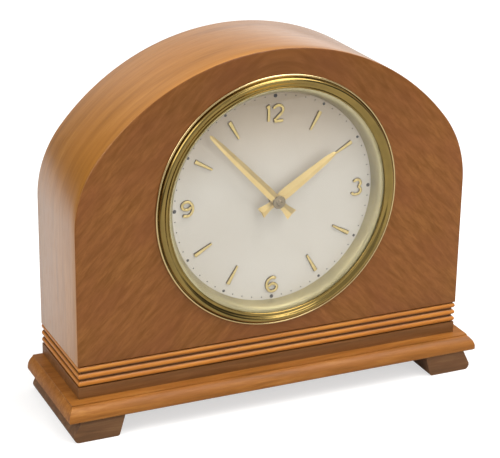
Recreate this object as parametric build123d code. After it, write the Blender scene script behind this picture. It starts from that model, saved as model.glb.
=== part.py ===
from build123d import *
import math
import os

# Round-top mantel clock with a reeded base, wound and set from behind.
# Millimetres. X runs to the right, Y to the back and Z up.
# The origin is at the middle of the base, on the surface that the feet stand on.
# Every shaft of the movement runs along Y, so a layer is a plan in X and Z with a depth in Y.

# Case
case_side_margin = 38.3
arch_spread = 13.0
shoulder_radius = 54.0
shoulder_drop = 2.4
wrap_thickness = 6.0
panel_thickness = 6.0
overrun = 1.0
rod_sides = 8

# Base: runner feet, plinth, plain band and three reeds
foot_height = 10.5
foot_top_width = 21.5
foot_top_margin = 1.5
foot_inner_splay = 3.0
foot_outer_splay = 5.2
foot_outer_rounding = 2.6
foot_inner_rounding = 1.4
foot_setback = 1.0
plinth_thickness = 7.5
plinth_front_overhang = 9.0
plinth_side_overhang = 7.5
plinth_flat = 4.8
plinth_step = 0.6
plinth_lower_edge = 1.6
plinth_chamfer = 0.7
band_height = 5.6
band_inset = 0.3
reed_count = 3
reed_pitch = 3.6
reed_depth = 1.2
reed_groove = 0.7
reed_inset = 0.2
reed_board = 8.0
block_size = 9.0
block_height = 18.0
block_low = 8.0
block_high = 42.0

# Back board, door and hinges
board_recess = 3.4
board_thickness = 3.6
door_width = 104.0
door_sill = 12.0
door_top_margin = 15.0
door_gap = 0.4
hinge_lift = 1.7
knuckle_radius = 1.4
hinge_pin_radius = 0.6
pin_clearance = 0.05
leaf_thickness = 0.8
leaf_width = 8.0
leaf_setback = 1.6
knuckle_height = 5.0
knuckle_gap = 0.1
hinge_low = 16.0
hinge_high = 50.0
door_knob_radius = 3.4
door_knob_neck = 1.8
door_knob_height = 3.0
door_knob_inset = 7.0
door_knob_level = 34.0
door_knob_bevel = 0.8
catch_thickness = 0.6
catch_width = 8.0
catch_reach = 3.5
catch_hold = 9.0
catch_clearance = 0.3

# Dial, bezel and hands
bezel_base_margin = 5.7
bezel_radius = 61.7
bezel_tube_inset = 4.7
bezel_tube_wall = 0.7
bezel_bead_width = 1.3
bezel_bead_height = 0.9
bezel_groove_depth = 0.5
bezel_crown_inset = 3.7
bezel_crown_height = 2.7
bezel_shoulder_share = 0.3
bezel_band_width = 6.4
bezel_lip_height = 1.8
bezel_lip_thickness = 0.6
bezel_fit = 0.1
glass_thickness = 1.4
glass_dome = 4.2
glass_fit = 0.1
dial_setback = 6.2
dial_thickness = 0.8
sight_ring_width = 4.0
dial_hole_radius = 2.6
dial_foot_radius = 1.0
dial_foot_circle = 24.0
sight_ring_lip = 0.2
cove_share = 0.36
baton_margin = 5.1
baton_length = 9.9
baton_outer_width = 1.9
baton_inner_width = 0.9
baton_height = 0.8
hour_hand_margin = 0.1
hour_hand_tail = 9.7
hour_hand_width = 4.4
hour_hand_level = 3.6
minute_hand_margin = 0.8
minute_hand_tail = 10.3
minute_hand_width = 4.0
minute_hand_level = 5.6
hand_thickness = 0.4
hand_ridge = 0.35
hand_boss_radius = 2.4
hand_waist_share = 0.6
hand_tail_waist = 2.0
hand_tail_end = 3.4
hand_nut_radius = 1.7
hand_nut_height = 1.7
hour_angle = 56.4
minute_angle = 316.2

# Movement frame
motion_gap = 7.0
plate_thickness = 1.6
plate_gap = 18.0
plate_half_width = 38.0
plate_top = 38.0
plate_bottom = 54.0
plate_corner = 8.0
pillar_radius = 2.6
pillar_inset = 5.0
end_shake = 0.15
pivot_clearance = 0.05
bracket_width = 9.0
bracket_thickness = 1.2
bracket_hold = 8.0
bracket_foot = 7.0
bracket_clearance = 2.0
bracket_high = 22.0
bracket_low = 32.0

# Going train: module of each pair, and where each arbor stands from the one before
barrel_teeth = 48
barrel_module = 0.80
barrel_pinion_leaves = 8
intermediate_teeth = 40
intermediate_module = 0.62
centre_pinion_leaves = 8
centre_teeth = 48
centre_module = 0.50
third_pinion_leaves = 6
third_teeth = 45
third_module = 0.46
fourth_pinion_leaves = 6
fourth_teeth = 48
fourth_module = 0.42
escape_pinion_leaves = 6
intermediate_bearing = 215.0
barrel_bearing = 271.7
third_bearing = 20.0
fourth_bearing = 100.0
escape_bearing = 165.0

# Heights of the wheels above the front plate
barrel_floor_level = 8.9
barrel_floor_thickness = 1.6
barrel_drum_level = 1.2
barrel_cover_thickness = 0.8
barrel_drum_radius = 17.2
barrel_wall = 1.0
barrel_core_radius = 3.2
barrel_arbor_radius = 2.0
intermediate_pinion_level = 8.4
intermediate_pinion_length = 2.6
intermediate_wheel_level = 13.6
intermediate_wheel_thickness = 1.3
centre_pinion_level = 13.3
centre_pinion_length = 1.9
centre_wheel_level = 3.0
centre_wheel_thickness = 1.2
third_pinion_level = 2.3
third_pinion_length = 2.6
third_wheel_level = 10.0
third_wheel_thickness = 1.0
fourth_pinion_level = 9.2
fourth_pinion_length = 2.6
fourth_wheel_level = 6.3
fourth_wheel_thickness = 1.0
escape_pinion_level = 5.5
escape_pinion_length = 2.6
escape_wheel_level = 13.0
escape_wheel_thickness = 0.9
wheel_hub_radius = 2.6
wheel_rim = 1.7
spoke_width = 1.6
spokes = 4
rim_facet_shares = (-1.0, -0.33, 0.33, 1.0)

# Tooth form, as shares of the module and of half the tooth pitch
wheel_addendum_share = 0.90
wheel_dedendum_share = 1.15
wheel_root_share = 0.74
pinion_addendum_share = 0.60
pinion_dedendum_share = 1.15
pinion_root_share = 0.50
pinion_tip_share = 0.18

# Arbors
centre_arbor_radius = 0.8
centre_sleeve_radius = 1.5
intermediate_radius = 1.0
third_radius = 0.7
fourth_radius = 0.6
escape_arbor_radius = 0.55

# Motion work under the dial
cannon_leaves = 8
minute_wheel_teeth = 24
cannon_module = 0.45
minute_pinion_leaves = 6
hour_wheel_teeth = 24
hour_module = 0.48
minute_bearing = 300.0
cannon_level = 0.6
cannon_length = 2.8
cannon_pipe_radius = 1.2
hour_pipe_radius = 1.8
minute_wheel_level = 1.2
minute_wheel_thickness = 1.0
minute_pinion_length = 2.6
hour_wheel_level = 3.8
hour_wheel_thickness = 1.0
minute_post_radius = 0.6
minute_post_spare = 0.4
pipe_clearance = 0.06

# Winding work behind the back plate
ratchet_teeth = 24
ratchet_radius = 8.0
ratchet_depth = 1.0
ratchet_face_share = 0.06
ratchet_level = 0.4
ratchet_thickness = 1.6
winding_square = 3.0
winding_square_end = 9.0
key_clearance = 0.05
key_sleeve_radius = 3.2
key_sleeve_level = 2.4
key_sleeve_length = 7.4
key_wing_level = 5.4
key_wing_length = 6.4
key_wing_reach = 11.0
key_wing_clip = 2.0
key_wing_thickness = 1.4
key_back_clearance = 1.0
click_bearing = 52.0
click_distance = 12.3
click_tip_bearing = 20.0
click_tip_gap = 0.15
click_width = 2.2
click_nose = 1.8
click_boss_radius = 2.1
click_thickness = 1.4
click_screw_radius = 0.8
click_screw_head = 1.6
click_screw_head_height = 0.8
click_spring_gap = 1.8
click_spring_thickness = 0.5
click_spring_length = 9.0
click_spring_foot = 3.0
mainspring_turns = 4
coil_sides = 10
mainspring_thickness = 0.5
mainspring_clearance = 0.4
set_knob_radius = 6.0
set_knob_level = 3.0
set_knob_height = 5.0
set_knob_hub_radius = 2.6
knob_flutes = 12
knob_flute_depth = 0.6
knob_land_share = 0.7

# Escapement and balance
escape_teeth = 15
escape_radius = 4.6
escape_tooth_depth = 1.3
escape_tooth_shares = (0.0, 0.36, 0.78, 0.90)
pallet_distance = 6.2
pallet_bearing = 150.0
pallet_reach = 0.4
pallet_stone_length = 1.2
pallet_stone_width = 0.7
pallet_arm_width = 1.1
pallet_spread = 32.0
pallet_arbor_radius = 0.5
fork_level = 13.0
fork_thickness = 0.9
fork_width = 1.0
fork_gap = 2.2
fork_slot = 0.8
fork_horn = 1.4
balance_distance = 8.5
balance_bearing = 165.0
balance_radius = 9.4
balance_rim = 1.1
balance_thickness = 1.1
balance_level = 2.2
balance_hub_radius = 1.8
staff_radius = 0.5
roller_radius = 1.9
roller_level = 14.7
roller_thickness = 0.8
impulse_pin_radius = 0.25
impulse_pin_clearance = 0.2
impulse_pin_offset = 1.5
hairspring_level = 4.1
hairspring_height = 0.6
hairspring_thickness = 0.16
hairspring_inner_radius = 1.9
hairspring_outer_radius = 5.6
hairspring_turns = 4
collet_radius = 1.2
cock_level = 6.0
cock_thickness = 1.4
cock_width = 6.0
cock_foot_distance = 12.6
cock_foot_length = 5.0
cock_bearing = 135.0
cock_boss_radius = 1.6
cock_boss_height = 0.9
regulator_ring_radius = 2.8
regulator_thickness = 0.6
regulator_length = 8.0
regulator_width = 1.0
regulator_clearance = 0.08
stud_width = 1.0

# Places worked out from the sizes above
movement_depth = dial_setback + dial_thickness + motion_gap + 2 * plate_thickness + plate_gap
key_room = key_wing_level + key_wing_length + key_back_clearance
case_depth = movement_depth + key_room + board_thickness + board_recess
half_width = bezel_radius + case_side_margin
foot_top_outer = half_width + foot_top_margin
foot_top_inner = foot_top_outer - foot_top_width
arch_top_radius = half_width + arch_spread
dial_rise = bezel_radius + bezel_base_margin
shoulder_height = dial_rise - shoulder_drop
case_base = foot_height + plinth_thickness + band_height + reed_count * reed_pitch
shoulder_level = case_base + shoulder_height
shoulder_offset = half_width - shoulder_radius
arch_drop = math.sqrt((arch_top_radius - shoulder_radius) ** 2 - shoulder_offset ** 2)
arch_centre = shoulder_level - arch_drop
join_angle = math.atan2(arch_drop, shoulder_offset)
arch_inner_top = arch_centre + arch_top_radius - wrap_thickness
door_height = arch_inner_top - case_base - door_sill - door_top_margin
dial_height = case_base + dial_rise
bezel_tube_radius = bezel_radius - bezel_tube_inset
bezel_crown_radius = bezel_radius - bezel_crown_inset
bezel_lip_radius = bezel_radius - bezel_band_width
dial_opening_radius = bezel_lip_radius - sight_ring_width
baton_outer_radius = dial_opening_radius - baton_margin
baton_inner_radius = baton_outer_radius - baton_length
hour_hand_length = baton_inner_radius - hour_hand_margin
minute_hand_length = dial_opening_radius - minute_hand_margin
plinth_base = foot_height
band_base = plinth_base + plinth_thickness
reed_base = band_base + band_height
overall_depth = case_depth + plinth_front_overhang
front_y = plinth_front_overhang - overall_depth / 2
rear_y = front_y + case_depth
panel_back = front_y + panel_thickness
board_rear = rear_y - board_recess
board_front = board_rear - board_thickness
dial_front = front_y + dial_setback
dial_back = dial_front + dial_thickness
plate_front = dial_back + motion_gap
train_base = plate_front + plate_thickness
train_top = train_base + plate_gap
plate_rear = train_top + plate_thickness

os.makedirs("parts", exist_ok=True)


def save(node, shape):
    """Write one piece to its own file."""
    shape.label = node
    export_step(shape, "parts/" + node + ".step")


def layer(plan, near, far):
    """A plan in X and Z, given thickness from the depth near to the depth far."""
    return extrude(Plane.XZ.offset(-far) * plan, far - near)


def turned(section, x=0, z=0):
    """A section of radius against depth, turned about the Y axis through x and z."""
    placed = Plane(origin=(x, 0, z), x_dir=(1, 0, 0), z_dir=(0, 0, 1)) * section
    return revolve(placed, Axis((x, 0, z), (0, 1, 0)), 360)


def polar(distance, bearing, start=(0, 0)):
    """The place at a distance and a bearing from a start, in X and Z."""
    angle = math.radians(bearing)
    return (start[0] + distance * math.cos(angle), start[1] + distance * math.sin(angle))


def bearing_of(start, end):
    """The bearing in degrees from one place to another."""
    return math.degrees(math.atan2(end[1] - start[1], end[0] - start[0]))


def disc_plan(place, radius):
    """Plan of a round piece or hole."""
    return Pos(*place) * Circle(radius)


def disc(place, radius, near, far):
    """A round layer."""
    return layer(disc_plan(place, radius), near, far)


def rod_plan(place, radius):
    """Plan of a slim rod out of sight, drawn with a few flat sides because the train has so many."""
    return Pos(*place) * RegularPolygon(radius, rod_sides)


def bore_plan(place, radius):
    """Plan of a slim bore whose flat sides just touch the radius."""
    return Pos(*place) * RegularPolygon(radius, rod_sides, major_radius=False)


def rod(place, radius, near, far):
    """A slim rod."""
    return layer(rod_plan(place, radius), near, far)


def bore(place, radius, near, far):
    """The cut for a slim bore, with an overrun past both ends."""
    return layer(bore_plan(place, radius), near - overrun, far + overrun)


def polygon(points):
    """A face with straight edges."""
    return make_face(Polyline(*points, close=True))


def arch_plan(inset, base):
    """The case outline: straight sides, tight shoulders and a wide top, all tangent."""
    half = half_width - inset
    small = shoulder_radius - inset
    wide = arch_top_radius - inset
    join = (wide * math.cos(join_angle), arch_centre + wide * math.sin(join_angle))
    middle = join_angle / 2
    bend = (shoulder_offset + small * math.cos(middle), shoulder_level + small * math.sin(middle))
    edge = Polyline((-half, shoulder_level), (-half, base), (half, base), (half, shoulder_level))
    right = ThreePointArc((half, shoulder_level), bend, join)
    top = ThreePointArc(join, (0, arch_centre + wide), (-join[0], join[1]))
    left = ThreePointArc((-join[0], join[1]), (-bend[0], bend[1]), (-half, shoulder_level))
    return make_face(Curve() + [edge, right, top, left])


def door_plan(grow):
    """The door outline: straight sides under a half-round top."""
    half = door_width / 2 + grow
    sill = case_base + door_sill - grow
    spring = case_base + door_sill + door_height - door_width / 2
    edge = Polyline((-half, spring), (-half, sill), (half, sill), (half, spring))
    return make_face(Curve() + [edge, ThreePointArc((half, spring), (0, spring + half), (-half, spring))])


# Case shell, front panel and base

def case_wrap():
    """The bent strip that makes both sides and the top of the case."""
    plan = arch_plan(0, case_base) - arch_plan(wrap_thickness, case_base - overrun)
    return layer(plan, panel_back, rear_y)


def front_panel():
    """The veneered front, with the round opening for the dial."""
    hole = Pos(0, dial_height) * Circle(bezel_tube_radius + bezel_fit)
    return layer(arch_plan(0, case_base) - hole, front_y, panel_back)


def corner_blocks():
    """Glue blocks in the corners between the front panel and the sides."""
    inner = half_width - wrap_thickness
    blocks = []
    for side in (1, -1):
        for rise in (block_low, block_high):
            corner = (side * inner, panel_back)
            along = (side * (inner - block_size), panel_back)
            back = (side * inner, panel_back + block_size)
            foot = Plane.XY.offset(case_base + rise) * polygon([corner, along, back])
            blocks.append(extrude(foot, block_height))
    return Compound(children=blocks)


def reed_section():
    """Board section with three half-round reeds: outward against height."""
    total = reed_count * reed_pitch
    half_groove = reed_groove / 2
    line = Polyline((-reed_depth, total), (-reed_board, total), (-reed_board, 0), (-reed_depth, 0))
    edges = [line]
    last = (-reed_depth, 0)
    for i in range(reed_count):
        low = i * reed_pitch + half_groove
        high = (i + 1) * reed_pitch - half_groove
        edges.append(Line(last, (-reed_depth, low)))
        edges.append(ThreePointArc((-reed_depth, low), (0, (low + high) / 2), (-reed_depth, high)))
        last = (-reed_depth, high)
    edges.append(Line(last, (-reed_depth, total)))
    return make_face(Curve() + edges)


def reed_mouldings():
    """Front, left and right reeded boards, mitred at the corners, and the plain rail behind."""
    half = half_width - reed_inset
    front = front_y + reed_inset
    top = case_base + overrun
    inner = half - reed_board
    behind = front + reed_board
    low = reed_base - overrun
    front_plan = polygon([(-half, front), (half, front), (inner, behind), (-inner, behind)])
    left_plan = polygon([(-half, front), (-inner, behind), (-inner, rear_y), (-half, rear_y)])
    right_plan = polygon([(half, front), (inner, behind), (inner, rear_y), (half, rear_y)])
    run = Plane(origin=(half, front, reed_base), x_dir=(0, -1, 0), z_dir=(-1, 0, 0))
    front_run = extrude(run * reed_section(), 2 * half)
    side = Plane(origin=(-half, front, reed_base), x_dir=(-1, 0, 0), z_dir=(0, 1, 0))
    left_run = extrude(side * reed_section(), rear_y - front)
    right_run = mirror(left_run, Plane.YZ)
    pieces = []
    for blank, plan in ((front_run, front_plan), (left_run, left_plan), (right_run, right_plan)):
        pieces.append(blank & extrude(Plane.XY.offset(low) * plan, top - low))
    rail_plan = polygon([(-inner, rear_y - reed_board), (inner, rear_y - reed_board),
                         (inner, rear_y - board_recess), (-inner, rear_y - board_recess)])
    rail = extrude(Plane.XY.offset(reed_base) * rail_plan, case_base - reed_base)
    return pieces + [rail]


def base_board():
    """The plain board whose edge shows as a dark band under the reeds."""
    half = half_width - band_inset
    front = front_y + band_inset
    plan = polygon([(-half, front), (half, front), (half, rear_y), (-half, rear_y)])
    return extrude(Plane.XY.offset(band_base) * plan, band_height)


def plinth_edge(out, sign):
    """Moulded edge from the top face down: flat, small step, ovolo and chamfered foot."""
    top = band_base
    step = top - plinth_step
    low = plinth_base + plinth_lower_edge
    points = [(plinth_flat, top), (plinth_flat, step), (out, low),
              (out, plinth_base + plinth_chamfer), (out - plinth_chamfer, plinth_base)]
    return [(sign * p[0], p[1]) for p in points]


def plinth():
    """Board with a moulded edge on three sides, mitred by crossing two sections."""
    half = half_width
    edges = []
    rims = []
    for sign in (1, -1):
        rim = [(x + sign * half, z) for x, z in plinth_edge(plinth_side_overhang, sign)]
        rims.append(rim)
        edges += [Line(rim[0], rim[1]), TangentArc(rim[2], rim[1], tangent=(0, 1))]
        edges += [Line(rim[2], rim[3]), Line(rim[3], rim[4])]
    edges += [Line(rims[0][0], rims[1][0]), Line(rims[0][4], rims[1][4])]
    across = layer(make_face(Curve() + edges), front_y - plinth_front_overhang - overrun, rear_y)
    rim = [(front_y - u, z) for u, z in plinth_edge(plinth_front_overhang, 1)]
    profile = [Line(rim[0], rim[1]), TangentArc(rim[2], rim[1], tangent=(0, 1)), Line(rim[2], rim[3]),
               Line(rim[3], rim[4]), Polyline(rim[4], (rear_y, plinth_base), (rear_y, band_base), rim[0])]
    side = Plane(origin=(0, 0, 0), x_dir=(0, 1, 0), z_dir=(1, 0, 0))
    reach = half + plinth_side_overhang + overrun
    along = extrude(side * make_face(Curve() + profile), reach, both=True)
    return across & along


def foot(side):
    """Runner foot with both faces splayed outwards and rounded lower corners."""
    plan = polygon([(foot_top_inner, foot_height), (foot_top_outer, foot_height),
                    (foot_top_outer + foot_outer_splay, 0), (foot_top_inner + foot_inner_splay, 0)])
    corners = plan.vertices().sort_by(Axis.Y)[:2].sort_by(Axis.X)
    plan = fillet(corners[1], foot_outer_rounding)
    inner = plan.vertices().sort_by(Axis.Y)
    lowest = [v for v in inner if v.Y < foot_inner_rounding / 2].copy()
    corner = sorted(lowest, key=lambda v: v.X)[0]
    plan = fillet(corner, foot_inner_rounding)
    runner = layer(plan, front_y - plinth_front_overhang + foot_setback, rear_y)
    return runner if side > 0 else mirror(runner, Plane.YZ)


# Back of the case

def back_board():
    """Back of the case, let in behind the wrap, with the opening for the door."""
    plan = arch_plan(wrap_thickness, case_base) - door_plan(door_gap)
    return layer(plan, board_front, board_rear)


def rear_door():
    """Arched door that fills the opening."""
    shank = disc(door_knob_place(), door_knob_neck, board_front - overrun, board_rear + overrun)
    return layer(door_plan(0), board_front, board_rear) - shank


def door_knob_place():
    """The free edge of the door is on the left, seen from the front."""
    return (-(door_width / 2 - door_knob_inset), case_base + door_sill + door_knob_level)


def door_knob():
    """Small turned knob on a shank through the door."""
    top = board_rear + door_knob_height
    neck = board_rear + door_knob_height / 3
    section = polygon([(0, top), (0, board_front), (door_knob_neck, board_front), (door_knob_neck, neck),
                       (door_knob_radius, neck), (door_knob_radius - door_knob_bevel, top)])
    place = door_knob_place()
    return turned(section, place[0], place[1])


def hinge_axis():
    """The hinge line stands over the gap between door and board, on the right."""
    return (door_width / 2 + door_gap / 2, board_rear + hinge_lift)


def knuckle(radius, low, high, outline):
    """A length of rod or bore on the hinge line."""
    return extrude(Plane.XY.offset(low) * outline(hinge_axis(), radius), high - low)


def leaf(direction, low, high, spans):
    """A flat leaf on the wood with a tab and a solid knuckle for each span."""
    x, y = hinge_axis()
    near = x + direction * leaf_setback
    far = x + direction * leaf_width
    surface = board_rear + leaf_thickness
    plate = polygon([(near, board_rear), (far, board_rear), (far, surface), (near, surface)])
    shape = extrude(Plane.XY.offset(low) * plate, high - low)
    for base, top in spans:
        tab = polygon([(x, y - knuckle_radius), (near, board_rear), (near, surface), (x, surface)])
        shape += extrude(Plane.XY.offset(base) * tab, top - base)
        shape += knuckle(knuckle_radius, base, top, disc_plan)
    return shape


def hinges():
    """Two butt hinges: case halves with their pins, and door halves bored to turn on them."""
    case_halves = []
    door_halves = []
    for rise in (hinge_low, hinge_high):
        low = case_base + door_sill + rise
        spans = [low + i * (knuckle_height + knuckle_gap) for i in range(3)]
        high = spans[2] + knuckle_height
        outer = [(base, base + knuckle_height) for base in (spans[0], spans[2])]
        middle = [(spans[1], spans[1] + knuckle_height)]
        pin_bore = knuckle(hinge_pin_radius + pin_clearance, low, high, bore_plan)
        case_halves.append(leaf(1, low, high, outer) + knuckle(hinge_pin_radius, low, high, rod_plan))
        door_halves.append(leaf(-1, low, high, middle) - pin_bore)
    return Compound(children=case_halves), Compound(children=door_halves)


def door_catch():
    """Spring strip inside the case that the free edge of the door closes onto."""
    edge = -door_width / 2
    start = edge - door_gap - catch_hold
    end = edge + catch_reach
    step = catch_clearance
    y = board_front
    t = catch_thickness
    plan = polygon([(start, y), (start, y - t), (edge - step - t, y - t), (edge - t, y - t - step),
                    (end, y - t - step), (end, y - step), (edge - door_gap, y - step),
                    (edge - door_gap - step, y)])
    low = case_base + door_sill + door_knob_level - catch_width / 2
    return extrude(Plane.XY.offset(low) * plan, catch_width)


# Bezel, glass and dial

def bezel():
    """Pressed brass ring: outer bead, groove, raised band and lip, with a tube into the panel."""
    groove = bezel_radius - bezel_bead_width
    lip = front_y - bezel_lip_height
    crown = front_y - bezel_crown_height
    seat = bezel_tube_radius - bezel_tube_wall
    shelf = lip + bezel_lip_thickness
    floor = front_y - bezel_groove_depth
    shoulder = (groove + (bezel_crown_radius - groove) * bezel_shoulder_share,
                floor + (crown - floor) * (1 - bezel_shoulder_share))
    section = polygon([
        (bezel_radius, front_y), (bezel_radius - bezel_bead_width / 2, front_y - bezel_bead_height),
        (groove, floor), shoulder, (bezel_crown_radius, crown), (bezel_lip_radius, lip),
        (bezel_lip_radius, shelf), (seat, shelf), (seat, dial_back), (bezel_tube_radius, dial_back),
        (bezel_tube_radius, front_y)])
    return turned(section, 0, dial_height)


def glass_edge():
    """Radius of the glass and the depths of its edge."""
    radius = bezel_tube_radius - bezel_tube_wall - glass_fit
    near = front_y - bezel_lip_height + bezel_lip_thickness
    return radius, near, near + glass_thickness


def glass():
    """Domed glass whose flat edge sits behind the lip of the bezel."""
    radius, near, far = glass_edge()
    seat = bezel_lip_radius - glass_fit
    ball = (seat ** 2 + glass_dome ** 2) / (2 * glass_dome)
    cap = disc(centre, seat, near - glass_dome, far)
    cap &= Pos(0, near - glass_dome + ball, dial_height) * Sphere(ball)
    cap -= Pos(0, far - glass_dome + ball, dial_height) * Sphere(ball)
    return cap + layer(disc_plan(centre, radius) - disc_plan(centre, seat), near, far)


def sight_ring():
    """Deep coved ring between the glass and the dial."""
    radius, near, far = glass_edge()
    wide = bezel_lip_radius + sight_ring_lip
    bend = (dial_opening_radius + (wide - dial_opening_radius) * cove_share, (far + dial_front) / 2)
    pull = (2 * bend[0] - (dial_opening_radius + wide) / 2, bend[1])
    section = make_face(Curve() + [
        Polyline((dial_opening_radius, dial_front), (radius, dial_front), (radius, far), (wide, far)),
        Bezier((wide, far), pull, (dial_opening_radius, dial_front))])
    return turned(section, 0, dial_height)


def dial_foot_places():
    """Two feet under the dial."""
    return [(side * dial_foot_circle, dial_height) for side in (1, -1)]


def dial():
    """Silvered disc with two feet that stand on the front plate."""
    radius = bezel_tube_radius - bezel_tube_wall - glass_fit
    shape = layer(disc_plan(centre, radius) - bore_plan(centre, dial_hole_radius), dial_front, dial_back)
    for place in dial_foot_places():
        shape += rod(place, dial_foot_radius, dial_back, plate_front)
    return shape


def solid_of(points, faces):
    """A closed solid from corner points and the corners of each flat face."""
    sides = [Face(Wire.make_polygon([Vector(*points[i]) for i in face], close=True)) for face in faces]
    return Solid(Shell(sides))


def batons():
    """Eight tapered markers with a ridge, at the hours that have no numeral."""
    wedges = []
    for hour in range(12):
        if hour % 3 == 0:
            continue
        turn = math.radians(90 - 30 * hour)
        along = (math.cos(turn), math.sin(turn))
        side = (-along[1], along[0])

        def at(r, w, h):
            x = r * along[0] + w * side[0]
            z = dial_height + r * along[1] + w * side[1]
            return (x, dial_front - h, z)

        far = baton_outer_width / 2
        near = baton_inner_width / 2
        base = [at(baton_outer_radius, far, 0), at(baton_outer_radius, -far, 0),
                at(baton_inner_radius, -near, 0), at(baton_inner_radius, near, 0)]
        ridge = [at(baton_outer_radius - far, 0, baton_height),
                 at(baton_inner_radius + near, 0, baton_height)]
        faces = [(0, 1, 2, 3), (0, 4, 1), (1, 4, 5), (1, 5, 2), (2, 5, 3), (3, 5, 4), (3, 4, 0)]
        wedges.append(solid_of(base + ridge, faces))
    return Compound(children=wedges)


def hand(length, tail, width, angle, back, pipe_radius):
    """Faceted hand: long ridged blade, boss and short flared tail, with its back at one depth."""
    shoulder = hand_boss_radius + width
    front = back - hand_thickness
    top = front - hand_ridge
    waist = hand_boss_radius * hand_waist_share

    def blade(stations):
        """Ridged bar through stations of distance along, half width and half ridge width."""
        points = []
        for y, w, crest in stations:
            points += [(-w, back, y), (w, back, y), (w, front, y), (0, crest, y), (-w, front, y)]
        faces = [(0, 1, 2, 3, 4)]
        for k in range(len(stations) - 1):
            a = 5 * k
            b = a + 5
            for i in range(5):
                j = (i + 1) % 5
                if i in (0, 1, 4):
                    faces.append((a + i, a + j, b + j, b + i))
                else:
                    faces += [(a + i, a + j, b + j), (a + i, b + j, b + i)]
        last = 5 * (len(stations) - 1)
        faces.append((last + 4, last + 3, last + 2, last + 1, last))
        return solid_of(points, faces)

    narrow = hand_thickness / 2
    main = blade([(0, waist, top), (shoulder, width / 2, top), (length, narrow, front - hand_ridge / 4)])
    rear = blade([(-tail, hand_tail_end / 2, top), (0, hand_tail_waist / 2, top)])
    boss = layer(Circle(hand_boss_radius), front, back)
    turned_hand = Pos(0, 0, dial_height) * Rot(0, angle, 0) * (main + rear + boss)
    return turned_hand - rod(centre, pipe_radius, top - overrun, back + overrun)


def minute_back():
    """Depth of the back of the minute hand."""
    return dial_front - minute_hand_level


def hand_nut_seat():
    """Depth of the front end of the centre arbor, inside the nut."""
    return minute_back() - hand_thickness - hand_ridge - hand_nut_height * 2 / 3


def hour_back():
    """Depth of the back of the hour hand."""
    return dial_front - hour_hand_level


def hand_nut():
    """Round nut that holds the minute hand on its arbor."""
    back = minute_back() - hand_thickness - hand_ridge
    shape = disc(centre, hand_nut_radius, back - hand_nut_height, back)
    return shape - rod(centre, centre_arbor_radius, hand_nut_seat(), back + overrun)


def centre_place():
    """The centre arbor stands behind the middle of the dial."""
    return (0, dial_height)


def pair_distance(module, teeth, leaves):
    """Distance between the arbors of a wheel and its pinion."""
    return module * (teeth + leaves) / 2


centre = centre_place()
intermediate = polar(pair_distance(intermediate_module, intermediate_teeth, centre_pinion_leaves),
                     intermediate_bearing, centre)
barrel_at = polar(pair_distance(barrel_module, barrel_teeth, barrel_pinion_leaves),
                  barrel_bearing, intermediate)
third = polar(pair_distance(centre_module, centre_teeth, third_pinion_leaves), third_bearing, centre)
fourth = polar(pair_distance(third_module, third_teeth, fourth_pinion_leaves), fourth_bearing, third)
escape = polar(pair_distance(fourth_module, fourth_teeth, escape_pinion_leaves), escape_bearing, fourth)
pallets = polar(pallet_distance, pallet_bearing, escape)
balance = polar(balance_distance, balance_bearing, pallets)
minute_at = polar(pair_distance(cannon_module, minute_wheel_teeth, cannon_leaves), minute_bearing, centre)
click_at = polar(click_distance, click_bearing, barrel_at)


def pillar_places():
    """Four pillars near the corners of the plates."""
    x = plate_half_width - pillar_inset
    high = dial_height + plate_top - pillar_inset
    low = dial_height - plate_bottom + pillar_inset
    return [(x, high), (-x, high), (x, low), (-x, low)]


def plate_plan():
    """Plate outline with clipped corners."""
    low = dial_height - plate_bottom
    high = dial_height + plate_top
    x = plate_half_width
    c = plate_corner
    return polygon([(x - c, low), (x, low + c), (x, high - c), (x - c, high),
                    (c - x, high), (-x, high - c), (-x, low + c), (c - x, low)])


def plate(near, far, hole_plan):
    """Plate with a hole for each arbor of the train."""
    return layer(plate_plan() - [hole_plan(place, radius) for place, radius in train_holes()], near, far)


def train_holes():
    """Pivot holes that both plates share."""
    c = pivot_clearance
    return [(centre, centre_sleeve_radius + c), (intermediate, intermediate_radius + c),
            (barrel_at, barrel_arbor_radius + c), (third, third_radius + c),
            (fourth, fourth_radius + c), (escape, escape_arbor_radius + c),
            (pallets, pallet_arbor_radius + c), (balance, staff_radius + c)]


def front_plate():
    """Plate nearest the dial."""
    return plate(plate_front, train_base, bore_plan)


def back_plate():
    """Plate nearest the door."""
    return plate(train_top, plate_rear, bore_plan)


def pillars():
    """Four pillars between the plates."""
    return [rod(place, pillar_radius, train_base, train_top) for place in pillar_places()]


def brackets():
    """Four cranked straps from the front plate to the back of the front panel, two on each side."""
    t = bracket_thickness
    inner = plate_half_width - bracket_hold
    straps = []
    for level in (bracket_high, -bracket_low):
        edge = abs(level) - bracket_width / 2
        reach = math.sqrt((bezel_tube_radius + bracket_clearance) ** 2 - edge ** 2)
        plan = polygon([(inner, plate_front), (inner, plate_front - t), (reach, plate_front - t),
                        (reach, panel_back), (reach + bracket_foot, panel_back),
                        (reach + bracket_foot, panel_back + t), (reach + t, panel_back + t),
                        (reach + t, plate_front)])
        strap = Pos(0, 0, dial_height + level) * extrude(plan, bracket_width / 2, both=True)
        straps += [strap, mirror(strap, Plane.YZ)]
    return Compound(children=straps)


# Wheels and arbors

def toothed(place, teeth, form, phase):
    """Gear outline with one tooth at the bearing called phase, from a form in radii and half widths."""
    half = 180 / teeth
    points = []
    for i in range(teeth):
        middle = phase + 360 * i / teeth
        points += [polar(radius, middle + share * half, place) for radius, share in form]
    return polygon(points)


def wheel_outline(place, teeth, module, phase):
    """Outline of a driving wheel, with pointed teeth."""
    low = module * (teeth / 2 - wheel_dedendum_share)
    high = module * (teeth / 2 + wheel_addendum_share)
    form = [(low, -wheel_root_share), (high, 0), (low, wheel_root_share)]
    return toothed(place, teeth, form, phase)


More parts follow.
